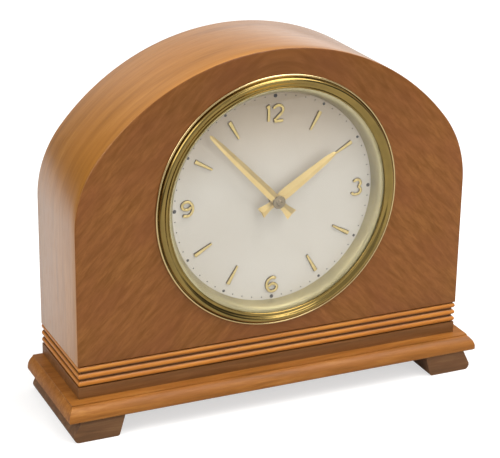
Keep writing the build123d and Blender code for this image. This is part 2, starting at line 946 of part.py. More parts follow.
def pinion_outline(place, leaves, module, wheel_place):
    """Outline of a pinion with flat-topped leaves and a gap facing its wheel."""
    low = module * (leaves / 2 - pinion_dedendum_share)
    high = module * (leaves / 2 + pinion_addendum_share)
    form = [(low, -pinion_root_share), (high, -pinion_tip_share),
            (high, pinion_tip_share), (low, pinion_root_share)]
    return toothed(place, leaves, form, bearing_of(place, wheel_place) + 180 / leaves)


def crossings(place, hub, rim, turn):
    """The windows between the spokes of a wheel, with straight facets along the rim."""
    windows = Sketch()
    step = 360 / spokes
    for i in range(spokes):
        middle = turn + step * (i + 0.5)
        wide = step / 2 - math.degrees(math.asin(spoke_width / 2 / rim))
        tight = step / 2 - math.degrees(math.asin(spoke_width / 2 / hub))
        points = [polar(rim, middle + share * wide, place) for share in rim_facet_shares]
        points += [polar(hub, middle - share * tight, place) for share in (-1, 1)]
        windows += polygon(points)
    return windows


def wheel(place, teeth, module, partner, level, thickness, arbor_radius):
    """Crossed-out wheel with a tooth facing its pinion, standing at a level above the front plate."""
    outline = wheel_outline(place, teeth, module, bearing_of(place, partner))
    rim = module * (teeth / 2 - wheel_dedendum_share) - wheel_rim
    plan = outline - crossings(place, wheel_hub_radius, rim, bearing_of(place, partner))
    near = train_base + level
    return layer(plan - rod_plan(place, arbor_radius), near, near + thickness)


def arbor(place, radius, leaves, module, partner, level, length):
    """Steel arbor between the outer faces of the plates, with a leaf pinion that faces its wheel."""
    near = train_base + level
    shape = rod(place, radius, plate_front, plate_rear)
    return shape + layer(pinion_outline(place, leaves, module, partner), near, near + length)


def centre_pinion():
    """Hollow centre pinion that turns in the plates and carries the centre wheel."""
    near = train_base + centre_pinion_level
    outline = pinion_outline(centre, centre_pinion_leaves, intermediate_module, intermediate)
    shape = rod(centre, centre_sleeve_radius, plate_front - end_shake, plate_rear + end_shake)
    shape += layer(outline, near, near + centre_pinion_length)
    return shape - bore(centre, centre_arbor_radius + pivot_clearance, plate_front, plate_rear)


def centre_arbor():
    """Arbor through the centre pinion, from the hand nut to the set knob."""
    return rod(centre, centre_arbor_radius, hand_nut_seat(), plate_rear + set_knob_level + set_knob_height)


def barrel():
    """Open drum with the great wheel round its floor."""
    floor = train_base + barrel_floor_level
    outline = wheel_outline(barrel_at, barrel_teeth, barrel_module, bearing_of(barrel_at, intermediate))
    shape = layer(outline, floor, floor + barrel_floor_thickness)
    wall = Pos(*barrel_at) * (Circle(barrel_drum_radius) - Circle(barrel_drum_radius - barrel_wall))
    shape += layer(wall, train_base + barrel_drum_level, floor)
    hole = barrel_arbor_radius + pivot_clearance
    return shape - bore(barrel_at, hole, floor, floor + barrel_floor_thickness)


def barrel_cover():
    """Disc that closes the front of the drum."""
    near = train_base + barrel_drum_level
    plan = Pos(*barrel_at) * Circle(barrel_drum_radius - barrel_wall)
    plan -= bore_plan(barrel_at, barrel_arbor_radius + pivot_clearance)
    return layer(plan, near, near + barrel_cover_thickness)


def barrel_arbor():
    """Arbor with a core for the spring and the winding square."""
    c = end_shake
    near = train_base + barrel_drum_level + barrel_cover_thickness + c
    far = train_base + barrel_floor_level - c
    shape = rod(barrel_at, barrel_arbor_radius, plate_front, plate_rear + ratchet_level)
    shape += rod(barrel_at, barrel_core_radius, near, far)
    square = square_plan(winding_square)
    return shape + layer(square, plate_rear + ratchet_level, plate_rear + winding_square_end)


def spiral_strip(place, inner, outer, turns, thickness, near, far, start):
    """Flat coil of even pitch, from straight runs, with the given radial thickness."""
    count = turns * coil_sides
    inside = []
    outside = []
    for i in range(count + 1):
        radius = inner + (outer - inner) * i / count
        angle = start + 360 * i / coil_sides
        inside.append(polar(radius, angle, place))
        outside.append(polar(radius + thickness, angle, place))
    return layer(polygon(inside + outside[::-1]), near, far)


def mainspring():
    """Coiled spring inside the barrel."""
    c = mainspring_clearance
    near = train_base + barrel_drum_level + barrel_cover_thickness + c
    far = train_base + barrel_floor_level - c
    outer = barrel_drum_radius - barrel_wall - mainspring_thickness - c
    return spiral_strip(barrel_at, barrel_core_radius + c, outer, mainspring_turns,
                        mainspring_thickness, near, far, 0)


# Motion work

def cannon_pinion():
    """Pinion and pipe that carry the minute hand."""
    far = plate_front - cannon_level
    near = far - cannon_length
    tip = minute_back() - hand_thickness
    shape = layer(pinion_outline(centre, cannon_leaves, cannon_module, minute_at), near, far)
    shape += rod(centre, cannon_pipe_radius, tip, near)
    return shape - rod(centre, centre_arbor_radius, tip - overrun, far + overrun)


def minute_wheel():
    """Wheel and pinion in one, turning on a post."""
    far = plate_front - minute_wheel_level
    near = far - minute_wheel_thickness
    tip = near - minute_pinion_length
    outline = wheel_outline(minute_at, minute_wheel_teeth, cannon_module, bearing_of(minute_at, centre))
    shape = layer(outline, near, far)
    shape += layer(pinion_outline(minute_at, minute_pinion_leaves, hour_module, centre), tip, near)
    return shape - disc(minute_at, minute_post_radius + pivot_clearance, tip, far)


def minute_post():
    """Post on the front plate for the minute wheel."""
    near = plate_front - minute_wheel_level - minute_wheel_thickness - minute_pinion_length
    return disc(minute_at, minute_post_radius, near - minute_post_spare, plate_front)


def hour_wheel():
    """Wheel and pipe that carry the hour hand."""
    far = plate_front - hour_wheel_level
    near = far - hour_wheel_thickness
    tip = hour_back() - hand_thickness
    outline = wheel_outline(centre, hour_wheel_teeth, hour_module, bearing_of(centre, minute_at))
    shape = layer(outline, near, far) + rod(centre, hour_pipe_radius, tip, near)
    return shape - bore(centre, cannon_pipe_radius + pipe_clearance, tip, far)


# Winding work

def ratchet_wheel():
    """Saw-toothed wheel on the winding square."""
    points = []
    step = 360 / ratchet_teeth
    for i in range(ratchet_teeth):
        points.append(polar(ratchet_radius, step * i, barrel_at))
        points.append(polar(ratchet_radius - ratchet_depth, step * (i + ratchet_face_share), barrel_at))
    plan = polygon(points) - square_plan(winding_square)
    near = plate_rear + ratchet_level
    return layer(plan, near, near + ratchet_thickness)


def square_plan(size):
    """Plan of the winding square, or of the hole for it."""
    return Pos(*barrel_at) * Rectangle(size, size)


def click_tip():
    """Where the click's nose rests, just clear of the ratchet's teeth."""
    return polar(ratchet_radius + click_tip_gap, click_tip_bearing, barrel_at)


def click():
    """Pawl that turns on its screw, with its nose at the ratchet."""
    tip = click_tip()
    along = bearing_of(click_at, tip)
    outer = polar(click_width / 2, along + 90, click_at)
    inner = polar(click_width / 2, along - 90, click_at)
    heel = polar(click_nose, bearing_of(barrel_at, tip), tip)
    plan = polygon([inner, outer, heel, tip]) + rod_plan(click_at, click_boss_radius)
    plan -= bore_plan(click_at, click_screw_radius + pivot_clearance)
    near = plate_rear + ratchet_level
    return layer(plan, near, near + click_thickness)


def click_screw():
    """Shouldered screw that the click turns on."""
    near = plate_rear + ratchet_level + click_thickness + end_shake
    shape = rod(click_at, click_screw_radius, plate_rear, near)
    return shape + disc(click_at, click_screw_head, near, near + click_screw_head_height)


def click_spring():
    """Thin strip behind the click, bent from a foot on the plate."""
    tip = click_tip()
    run = bearing_of(click_at, tip)
    start = polar(click_nose + click_spring_gap, bearing_of(barrel_at, tip), tip)
    end = polar(click_spring_length, run, start)
    near = plate_rear + ratchet_level
    shape = layer(bar_plan(start, end, click_spring_thickness), near, near + click_thickness)
    return shape + rod(end, click_spring_foot / 2, plate_rear, near + click_thickness)


def winding_key():
    """Butterfly key on the winding square, with clipped wings."""
    near = plate_rear + key_sleeve_level
    far = near + key_sleeve_length
    x, z = barrel_at
    tip = plate_rear + key_wing_level + key_wing_length
    neck = plate_rear + key_wing_level
    c = key_wing_clip
    w = key_wing_reach
    bow = [(x - w + c, neck), (x - w, neck + c), (x - w, tip - c), (x - w + c, tip),
           (x - c, tip), (x, far), (x + c, tip),
           (x + w - c, tip), (x + w, tip - c), (x + w, neck + c), (x + w - c, neck)]
    flat = Plane.XY.offset(z) * polygon(bow)
    shape = rod(barrel_at, key_sleeve_radius, near, far) + extrude(flat, key_wing_thickness / 2, both=True)
    hole = square_plan(winding_square + 2 * key_clearance)
    return shape - layer(hole, near - overrun, plate_rear + winding_square_end + key_clearance)


def set_knob():
    """Coin-edged knob on the back end of the centre arbor."""
    near = plate_rear + set_knob_level
    far = near + set_knob_height
    low = set_knob_radius - knob_flute_depth
    form = [(low, -knob_land_share), (set_knob_radius, -knob_land_share / 2),
            (set_knob_radius, knob_land_share / 2), (low, knob_land_share)]
    shape = layer(toothed(centre, knob_flutes, form, 0), near + set_knob_height / 3, far)
    shape += rod(centre, set_knob_hub_radius, near, near + set_knob_height / 3)
    return shape - rod(centre, centre_arbor_radius, near - overrun, far + overrun)


def escape_wheel():
    """Fifteen pointed teeth that lean forward."""
    step = 360 / escape_teeth
    low = escape_radius - escape_tooth_depth
    radii = (low, low, escape_radius, escape_radius)
    points = []
    for i in range(escape_teeth):
        for radius, share in zip(radii, escape_tooth_shares):
            points.append(polar(radius, step * (i + share), escape))
    near = train_base + escape_wheel_level
    return layer(polygon(points) - rod_plan(escape, escape_arbor_radius), near, near + escape_wheel_thickness)


def pallet_places():
    """Both pallet faces stand outside the wheel's tips, either side of the line of centres."""
    facing = bearing_of(escape, pallets)
    radius = escape_radius + pallet_reach + pallet_stone_length / 2
    return [(polar(radius, facing + s * pallet_spread, escape), facing + s * pallet_spread) for s in (1, -1)]


def bar_plan(start, end, width):
    """A straight bar between two places."""
    middle = ((start[0] + end[0]) / 2, (start[1] + end[1]) / 2)
    return Pos(*middle) * Rot(0, 0, bearing_of(start, end)) * Rectangle(math.dist(start, end), width)


def pallet_fork():
    """Lever with two arms for the pallets and a fork towards the balance."""
    plan = rod_plan(pallets, pallet_arm_width)
    for place, bearing in pallet_places():
        outer = polar(pallet_stone_length / 2 + pallet_arm_width / 2, bearing, place)
        plan += bar_plan(pallets, outer, pallet_arm_width)
    run = bearing_of(pallets, balance)
    tip = polar(balance_distance - fork_gap, run, pallets)
    plan += bar_plan(pallets, tip, fork_width)
    root = polar(balance_distance - fork_gap - fork_horn, run, pallets)
    head = bar_plan(root, tip, fork_slot + 2 * fork_width)
    slot = bar_plan(polar(fork_horn / 2, run, root), polar(overrun, run, tip), fork_slot)
    plan = plan + head - slot - rod_plan(pallets, pallet_arbor_radius)
    near = train_base + fork_level
    return layer(plan, near, near + fork_thickness)


def pallet_stones():
    """Two small jewels set under the ends of the arms."""
    stones = []
    far = train_base + fork_level
    for place, bearing in pallet_places():
        plan = Pos(*place) * Rot(0, 0, bearing) * Rectangle(pallet_stone_length, pallet_stone_width)
        stones.append(layer(plan, far - fork_thickness, far))
    return stones


def pallet_arbor():
    """Plain arbor of the lever."""
    return rod(pallets, pallet_arbor_radius, plate_front, plate_rear)


def balance_wheel():
    """Rim on two arms."""
    inner = balance_radius - balance_rim
    plan = disc_plan(balance, balance_radius) - disc_plan(balance, inner)
    plan += Pos(*balance) * Rectangle(2 * inner + balance_rim, spoke_width)
    plan = plan + rod_plan(balance, balance_hub_radius) - rod_plan(balance, staff_radius)
    near = plate_rear + balance_level
    return layer(plan, near, near + balance_thickness)


def balance_staff():
    """Staff from the front plate to the cock, with the collet and the roller of the impulse pin."""
    collet = plate_rear + hairspring_level
    roller = train_base + roller_level
    pin = polar(impulse_pin_offset, bearing_of(balance, pallets), balance)
    tip = train_base + fork_level + fork_thickness + impulse_pin_clearance
    shape = rod(balance, staff_radius, plate_front, plate_rear + cock_level + cock_thickness)
    shape += rod(balance, collet_radius, collet, collet + hairspring_height)
    shape += rod(balance, roller_radius, roller, roller + roller_thickness)
    return shape + rod(pin, impulse_pin_radius, tip, roller)


def hairspring():
    """Flat spiral between the collet and the stud."""
    near = plate_rear + hairspring_level
    return spiral_strip(balance, hairspring_inner_radius, hairspring_outer_radius, hairspring_turns,
                        hairspring_thickness, near, near + hairspring_height, cock_bearing)


def balance_cock():
    """Bridge over the balance: foot on the plate, arm to the staff, stud and boss for the regulator."""
    foot_at = polar(cock_foot_distance, cock_bearing, balance)
    near = plate_rear + cock_level
    far = near + cock_thickness
    top = far + cock_boss_height
    pad = Pos(*foot_at) * Rot(0, 0, cock_bearing) * Rectangle(cock_foot_length, cock_width)
    plan = bar_plan(balance, foot_at, cock_width) + rod_plan(balance, cock_width / 2) + pad
    shape = layer(plan, near, far) + layer(pad, plate_rear, near)
    shape += disc(balance, cock_boss_radius, far, top)
    stud = polar(hairspring_outer_radius + hairspring_thickness + stud_width / 2, cock_bearing, balance)
    shape += rod(stud, stud_width / 2, plate_rear + hairspring_level, near)
    return shape - bore(balance, staff_radius + pivot_clearance, near, top)


def regulator():
    """Index that turns round the boss of the cock."""
    near = plate_rear + cock_level + cock_thickness + pivot_clearance
    tip = polar(regulator_length, cock_bearing + 180, balance)
    plan = rod_plan(balance, regulator_ring_radius) + bar_plan(balance, tip, regulator_width)
    plan -= bore_plan(balance, cock_boss_radius + regulator_clearance)
    return layer(plan, near, near + regulator_thickness)


def main():
    """Write every piece."""
    save("case_wrap", case_wrap())
    save("front_panel", front_panel())
    save("corner_blocks", corner_blocks())
    reeds = reed_mouldings()
    for node, piece in zip(("reed_front", "reed_left", "reed_right", "rear_rail"), reeds):
        save(node, piece)
    save("base_board", base_board())
    save("plinth", plinth())
    save("left_foot", foot(-1))
    save("right_foot", foot(1))
    save("back_board", back_board())
    save("rear_door", rear_door())
    save("door_knob", door_knob())
    case_halves, door_halves = hinges()
    save("hinge_case_halves", case_halves)
    save("hinge_door_halves", door_halves)
    save("door_catch", door_catch())
    save("bezel", bezel())
    save("glass", glass())
    save("sight_ring", sight_ring())
    save("dial", dial())
    save("hour_batons", batons())
    save("hour_hand", hand(hour_hand_length, hour_hand_tail, hour_hand_width, hour_angle,
                           hour_back(), hour_pipe_radius))
    save("minute_hand", hand(minute_hand_length, minute_hand_tail, minute_hand_width, minute_angle,
                             minute_back(), cannon_pipe_radius))
    save("hand_nut", hand_nut())
    save("front_plate", front_plate())
    save("back_plate", back_plate())
    save("pillars_and_post", Compound(children=pillars() + [minute_post()]))
    save("click_screw", click_screw())
    save("movement_brackets", brackets())
    save("barrel", barrel())
    save("barrel_cover", barrel_cover())
    save("barrel_arbor", barrel_arbor())
    save("mainspring", mainspring())
    save("intermediate_wheel", wheel(intermediate, intermediate_teeth, intermediate_module, centre,
                                     intermediate_wheel_level, intermediate_wheel_thickness,
                                     intermediate_radius))
    save("intermediate_arbor", arbor(intermediate, intermediate_radius,
                                     barrel_pinion_leaves, barrel_module, barrel_at,
                                     intermediate_pinion_level, intermediate_pinion_length))
    save("centre_wheel", wheel(centre, centre_teeth, centre_module, third, centre_wheel_level,
                               centre_wheel_thickness, centre_sleeve_radius))
    save("centre_pinion", centre_pinion())
    save("centre_arbor", centre_arbor())
    save("third_wheel", wheel(third, third_teeth, third_module, fourth, third_wheel_level,
                              third_wheel_thickness, third_radius))
    save("third_arbor", arbor(third, third_radius, third_pinion_leaves,
                              centre_module, centre, third_pinion_level, third_pinion_length))
    save("fourth_wheel", wheel(fourth, fourth_teeth, fourth_module, escape, fourth_wheel_level,
                               fourth_wheel_thickness, fourth_radius))
    save("fourth_arbor", arbor(fourth, fourth_radius, fourth_pinion_leaves,
                               third_module, third, fourth_pinion_level, fourth_pinion_length))
    save("escape_wheel", escape_wheel())
    save("escape_arbor", arbor(escape, escape_arbor_radius, escape_pinion_leaves,
                               fourth_module, fourth, escape_pinion_level, escape_pinion_length))
    save("pallet_fork", Compound(children=[pallet_fork()] + pallet_stones()))
    save("pallet_arbor", pallet_arbor())
    save("balance_wheel", balance_wheel())
    save("balance_staff", balance_staff())
    save("hairspring", hairspring())
    save("balance_cock", balance_cock())
    save("regulator", regulator())
    save("cannon_pinion", cannon_pinion())
    save("minute_wheel", minute_wheel())
    save("hour_wheel", hour_wheel())
    save("ratchet_wheel", ratchet_wheel())
    save("click", click())
    save("click_spring", click_spring())
    save("winding_key", winding_key())
    save("set_knob", set_knob())


main()
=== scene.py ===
"""Looks of the round-top mantel clock: turned and moulded pieces, finishes, light and camera.

Lengths are in millimetres and turn to metres where a mesh or a material is made.
X runs to the right, Y to the back and Z up, from the middle of the base.
"""
import bpy
import math
import numpy as np
from mathutils import Matrix


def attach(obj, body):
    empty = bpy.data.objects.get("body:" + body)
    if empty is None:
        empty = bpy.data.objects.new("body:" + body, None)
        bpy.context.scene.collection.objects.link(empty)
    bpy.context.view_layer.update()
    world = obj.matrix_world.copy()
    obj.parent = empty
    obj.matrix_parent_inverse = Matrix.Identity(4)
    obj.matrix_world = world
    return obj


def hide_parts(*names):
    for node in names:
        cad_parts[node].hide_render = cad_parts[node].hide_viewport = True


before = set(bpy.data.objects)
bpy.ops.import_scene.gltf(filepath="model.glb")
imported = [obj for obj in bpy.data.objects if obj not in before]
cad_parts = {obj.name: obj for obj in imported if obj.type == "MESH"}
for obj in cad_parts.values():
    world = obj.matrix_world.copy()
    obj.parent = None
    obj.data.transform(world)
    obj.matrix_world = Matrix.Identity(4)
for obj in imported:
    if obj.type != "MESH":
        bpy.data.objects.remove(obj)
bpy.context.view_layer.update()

MM = 0.001

# Case: its depths, the arch's outline and the reeds of the base
FRONT = -23.0
PANEL_BACK = -17.0
REAR = 32.0
CASE_BASE = 34.4
SHOULDER_LEVEL = 99.4
HALF_WIDTH = 100.0
SHOULDER_RADIUS = 54.0
TOP_RADIUS = 113.0
WRAP = 6.0
OPENING_RADIUS = 57.1
REED_BASE = 23.6
REED_PITCH = 3.6

# Dial and its markers, glass, sight ring, and the bezel's lip and tube
DIAL_HEIGHT = 101.8
DIAL_AXIS = (0.0, DIAL_HEIGHT)
DIAL_FRONT = -16.8
DOT_CIRCLE = 50.0
BATON_START = 36.3
BATON_END = 46.2
GLASS_NEAR = -24.2
GLASS_THICKNESS = 1.4
GLASS_FAR = GLASS_NEAR + GLASS_THICKNESS
GLASS_DOME = 4.2
GLASS_RADIUS = 56.2
RING_WIDE = 55.5
RING_NARROW = 51.45
RING_OUTSIDE = 56.1
LIP_RADIUS = 55.3
TUBE_INSIDE = 56.3
TUBE_OUTSIDE = 57.0
TUBE_END = -16.0

# The arch joins two tight shoulders to one wide top where their radii lie on one line
SHOULDER_OFFSET = HALF_WIDTH - SHOULDER_RADIUS
ARCH_DROP = math.sqrt((TOP_RADIUS - SHOULDER_RADIUS) ** 2 - SHOULDER_OFFSET ** 2)
ARCH_CENTRE = SHOULDER_LEVEL - ARCH_DROP
JOIN_ANGLE = math.atan2(ARCH_DROP, SHOULDER_OFFSET)


# Meshes: every new surface is a grid of two parameters worked out as whole arrays

def grid_faces(rows, columns, round_rows, round_columns):
    """Corner numbers of the quads between neighbouring rows and columns of a grid; round rows or
    columns close on themselves."""
    i = np.arange(rows if round_rows else rows - 1)
    j = np.arange(columns if round_columns else columns - 1)
    a, b = np.meshgrid(i, j, indexing="ij")
    c, d = (a + 1) % rows, (b + 1) % columns
    quads = np.stack([a * columns + b, c * columns + b, c * columns + d, a * columns + d], -1)
    return quads.reshape(-1, 4)


def outward(points, quads):
    """The same quads, turned round if the volume they enclose comes out negative."""
    p = points[quads]
    far = np.cross(p[:, 1], p[:, 2]) + np.cross(p[:, 2], p[:, 3])
    volume = np.einsum("ij,ij->i", p[:, 0], far).sum()
    return quads[:, ::-1] if volume < 0 else quads


def shell(points, round_rows, round_columns):
    """A grid of points (rows, columns, 3) as its points and outward quads."""
    quads = grid_faces(points.shape[0], points.shape[1], round_rows, round_columns)
    flat = points.reshape(-1, 3)
    return flat, outward(flat, quads)


def joined(shells):
    """Several shells as one set of points and quads."""
    starts = np.cumsum([0] + [len(points) for points, quads in shells[:-1]])
    points = np.concatenate([points for points, quads in shells])
    return points, np.concatenate([quads + start for (_, quads), start in zip(shells, starts)])


def piece(name, form, body, finish, crease=35.0, rim=None):
    """A mesh object made of a form, riding on a body; edges sharper than the crease, in degrees,
    stay sharp. The rim is a second finish and a mask of the faces that take it."""
    points, quads = form
    mesh = bpy.data.meshes.new(name)
    mesh.from_pydata((points * MM).tolist(), [], quads.tolist())
    mesh.validate()
    mesh.polygons.foreach_set("use_smooth", np.ones(len(mesh.polygons), dtype=bool))
    mesh.set_sharp_from_angle(angle=math.radians(crease))
    mesh.materials.append(finish)
    if rim:
        mesh.materials.append(rim[0])
        mesh.polygons.foreach_set("material_index", rim[1].astype(np.int32))
    made = bpy.data.objects.new(name, mesh)
    bpy.context.scene.collection.objects.link(made)
    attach(made, body)
    return made


def arc(centre, radius, start, end, count):
    """Points on an arc in a plane, from one angle to another in degrees."""
    turn = np.radians(np.linspace(start, end, count))
    return np.stack([centre[0] + radius * np.cos(turn), centre[1] + radius * np.sin(turn)], -1)


def carried_round(profile, place, steps):
    """An outline of radius and depth, carried round an axis that runs front to back through a
    place: each point goes to the radius times the cosine across and times the sine up."""
    profile = np.array(profile, dtype=float)
    turn = np.linspace(0, 2 * math.pi, steps, endpoint=False)[:, None]
    x = place[0] + profile[None, :, 0] * np.cos(turn)
    z = place[1] + profile[None, :, 0] * np.sin(turn)
    return np.stack([x, profile[None, :, 1] + 0 * x, z], -1)


def turned_ring(profile, steps):
    """A closed outline carried round the dial's axis, which makes a ring."""
    return shell(carried_round(profile, DIAL_AXIS, steps), True, True)


def turned_solid(profile, place, steps):
    """An outline from axis to axis carried round a place, which makes a solid."""
    return shell(carried_round(profile, place, steps), True, False)


def closed_bar(sections):
    """Closed sections carried along a way, each end closed by a fan to its middle."""
    middles = sections[[0, -1]].mean(axis=1, keepdims=True)
    ends = np.broadcast_to(middles, (2, sections.shape[1], 3))
    return shell(np.concatenate([ends[:1], sections, ends[1:]]), False, True)


# Case: the bent wrap and the veneered front

def arch_line(inset):
    """The case outline from the left foot of the wrap to the right: a straight side, a tight
    shoulder, the wide top, the other shoulder and side, drawn in by an inset. Gives points and the
    outward direction at each."""
    per_arc, per_side = 40, 12
    join = math.degrees(JOIN_ANGLE)
    half = HALF_WIDTH - inset
    side = np.linspace(CASE_BASE, SHOULDER_LEVEL, per_side, endpoint=False)
    right = np.stack([half + 0 * side, side], -1)
    shoulder = arc((SHOULDER_OFFSET, SHOULDER_LEVEL), SHOULDER_RADIUS - inset, 0, join,
                   per_arc)[:-1]
    top = arc((0, ARCH_CENTRE), TOP_RADIUS - inset, join, 90, per_arc)
    half_line = np.concatenate([right, shoulder, top])
    turn = np.radians(np.concatenate([0 * side, np.linspace(0, join, per_arc)[:-1],
                                      np.linspace(join, 90, per_arc)]))
    half_out = np.stack([np.cos(turn), np.sin(turn)], -1)
    mirror = np.array([-1, 1])
    line = np.concatenate([half_line * mirror, half_line[-2::-1]])
    return line, np.concatenate([half_out * mirror, half_out[-2::-1]])


def bent_wrap():
    """The strip of the sides and top: a section, square at the front and eased at the back,
    carried along the arch, so that a point is the arch's point moved out by the section's
    height."""
    line, out = arch_line(WRAP)
    ease = 0.5
    eased = arc((REAR - ease, WRAP - ease), ease, 90, 0, 4)
    section = np.concatenate([[[PANEL_BACK, WRAP]], eased, [[REAR, 0.0], [PANEL_BACK, 0.0]]])
    depth = section[None, :, 0] + 0 * line[:, None, 0]
    height = section[None, :, 1]
    x = line[:, None, 0] + height * out[:, None, 0]
    z = line[:, None, 1] + height * out[:, None, 1]
    return closed_bar(np.stack([x, depth, z], -1))


def veneered_front():
    """The front: rings of points that run from the round opening out to the arch, over an eased
    edge, back to the rear face and in again, each point on the ray from the dial's middle. Also
    the mask of the faces on its side, from half way round the eased edge to the back."""
    line, out = arch_line(0.0)
    base = np.linspace(HALF_WIDTH, -HALF_WIDTH, 60)[1:-1]
    line = np.concatenate([line, np.stack([base, CASE_BASE + 0 * base], -1)])
    out = np.concatenate([out, np.stack([0 * base, 0 * base - 1], -1)])
    corner = len(line) - len(base)
    out[[0, corner - 1]] = [[-1, -1], [1, -1]]
    middle = np.array([0, DIAL_HEIGHT])
    ray = line - middle
    hole = middle + OPENING_RADIUS * ray / np.linalg.norm(ray, axis=1, keepdims=True)
    edge = 0.6
    steps = [(0.0, hole)]
    steps += [(0.0, hole + (line - edge * out - hole) * share) for share in (0.33, 0.66, 1.0)]
    steps += [(edge * (1 - math.cos(a)), line - edge * out * (1 - math.sin(a)))
              for a in np.radians([30, 60, 90])]
    rings = [np.insert(at, 1, FRONT + depth, axis=1) for depth, at in steps]
    rings += [np.insert(line, 1, PANEL_BACK, axis=1), np.insert(hole, 1, PANEL_BACK, axis=1)]
    side = np.repeat(np.isin(np.arange(len(rings)), (5, 6)), len(line))
    return shell(np.stack(rings), True, True), side


# Bezel, sight ring and glass: spun and turned forms round the dial's axis

def bezel_outline():
    """Section of the bezel: a round bead, a narrow groove, a broad crown, a cove whose depth goes
    as a sine of the way in, and a lip rolled down to the glass, then the tube behind."""
    bead = arc((61.15, FRONT - 0.4), 0.55, 20, -190, 11)
    crown = arc((58.85, FRONT - 1.1), 1.4, 0, -120, 16)
    way = np.linspace(0.04, 1, 10)
    cove = np.stack([58.1 - 2.0 * way, FRONT - 2.35 + 0.85 * np.sin(1.95 * way)], -1)
    lip = arc((55.75, FRONT - 1.65), 0.45, -60, -180, 7)
    groove = [(60.4, FRONT - 0.1), (60.25, FRONT - 0.1)]
    tube = [(LIP_RADIUS, GLASS_NEAR), (TUBE_INSIDE, GLASS_NEAR), (TUBE_INSIDE, TUBE_END),
            (TUBE_OUTSIDE, TUBE_END), (TUBE_OUTSIDE, FRONT), (61.7, FRONT)]
    return np.concatenate([bead, groove, crown, cove, lip, tube])


def sight_ring_outline():
    """Section of the ring between glass and dial: a quarter round that bulges towards the axis,
    steep beside the dial and turning to face the glass. Its radius falls as the root of the way
    in, and its depth grows as the way to the power 1.7."""
    share = np.linspace(0, 1, 16)
    radius = RING_WIDE - (RING_WIDE - RING_NARROW) * share ** 0.5
    depth = GLASS_FAR + 0.05 + (DIAL_FRONT - 0.05 - GLASS_FAR) * share ** 1.7
    back = [(RING_NARROW + 0.05, DIAL_FRONT), (RING_OUTSIDE, DIAL_FRONT), (RING_OUTSIDE, GLASS_FAR),
            (RING_WIDE + 0.1, GLASS_FAR)]
    return np.concatenate([np.stack([radius, depth], -1), back])


def domed_glass():
    """The glass: two like domes a wall apart, each a sphere's cap, closed by a flat ground edge."""
    seat = LIP_RADIUS - 0.1
    sphere = (seat ** 2 + GLASS_DOME ** 2) / (2 * GLASS_DOME)
    radius = seat * np.linspace(0, 1, 22)
    rise = np.sqrt(sphere ** 2 - radius ** 2) - (sphere - GLASS_DOME)
    front = np.stack([radius, GLASS_NEAR - rise], -1)
    back = np.stack([radius, GLASS_FAR - rise], -1)[::-1]
    rim = [(GLASS_RADIUS, GLASS_NEAR), (GLASS_RADIUS, GLASS_FAR)]
    return turned_solid(np.concatenate([front, rim, back]), DIAL_AXIS, 160)


# Dial: raised numerals, dots and minute marks

def oval(x, z, wide, high, start, end):
    """Points on part of an ellipse, about a third of a millimetre apart, angles in degrees."""
    count = max(6, int(abs(math.radians(end - start)) * max(wide, high) / 0.35))
    turn = np.radians(np.linspace(start, end, count))
    return np.stack([x + wide * np.cos(turn), z + high * np.sin(turn)], -1)


def run(*corners):
    """Points along straight runs between corners, about 0.4 mm apart."""
    parts = []
    for a, b in zip(corners[:-1], corners[1:]):
        count = max(3, int(math.dist(a, b) / 0.4))
        parts.append(np.linspace(a, b, count, endpoint=False))
    return np.concatenate(parts + [[corners[-1]]])


def raised_stroke(path, width, height):
    """A bar with upright sides and a rounded top carried along a path on the dial: across goes as
    a cosine to the power 0.6 and height as the root of a sine, both drawn in over a round end."""
    along = np.gradient(path, axis=0)
    along /= np.linalg.norm(along, axis=1, keepdims=True)
    side = np.stack([-along[:, 1], along[:, 0]], -1)
    step = np.linalg.norm(np.diff(path, axis=0), axis=1)
    gone = np.concatenate([[0], np.cumsum(step)])
    end = np.minimum(gone, gone[-1] - gone)
    half = width / 2
    swell = np.sqrt(np.clip(1 - (1 - np.clip(end / half, 0, 1)) ** 2, 0, 1))
    turn = np.linspace(0, math.pi, 9)
    across = half * np.sign(np.cos(turn)) * np.abs(np.cos(turn)) ** 0.6
    rise = height * np.sin(turn) ** 0.5
    rise = rise[None, :] * (0.3 + 0.7 * swell[:, None]) * (swell[:, None] > 0)
    across = across[None, :] * swell[:, None]
    x = path[:, None, 0] + across * side[:, None, 0]
    z = path[:, None, 1] + across * side[:, None, 1]
    return shell(np.stack([x, DIAL_FRONT - rise, z + DIAL_HEIGHT], -1), False, True)


def numerals():
    """12, 3, 6 and 9 as rounded strokes of one width, in arcs and straight runs. The nine is the
    six turned half round."""
    width, height = 1.55, 0.9
    twelve = [run((-4.7, 44.2), (-3.4, 45.5), (-3.4, 37.7)),
              np.concatenate([oval(1.4, 43.2, 2.4, 2.2, 170, -35), run((2.9, 41.4), (-0.9, 38.0))]),
              run((-1.0, 37.8), (4.3, 37.8))]
    three = [oval(43.8, 1.9, 1.9, 1.7, 165, -70), oval(43.4, -1.8, 2.5, 2.0, 75, -165)]
    six = [np.concatenate([oval(0.2, -43.7, 3.1, 3.5, 52, 270),
                           oval(0.2, -45.3, 2.3, 1.9, 270, 530)[1:]])]
    nine = [np.array([-43.9, 0.6]) - (part - np.array([0.0, -43.7])) for part in six]
    return joined([raised_stroke(path, width, height) for path in twelve + three + nine + six])


def flat_bar(across, along, sections):
    """Sections of a bar, each a row of points of side, depth and way along, carried into the
    dial's plane by its two directions."""
    side, depth, way = sections[..., 0], sections[..., 1], sections[..., 2]
    x = side * across[0] + way * along[0]
    z = DIAL_HEIGHT + side * across[1] + way * along[1]
    return closed_bar(np.stack([x, depth, z], -1))


def bearings(angle):
    """Directions across and along a line from the dial's middle, clockwise from twelve."""
    turn = math.radians(angle)
    return (math.cos(turn), -math.sin(turn)), (math.sin(turn), math.cos(turn))


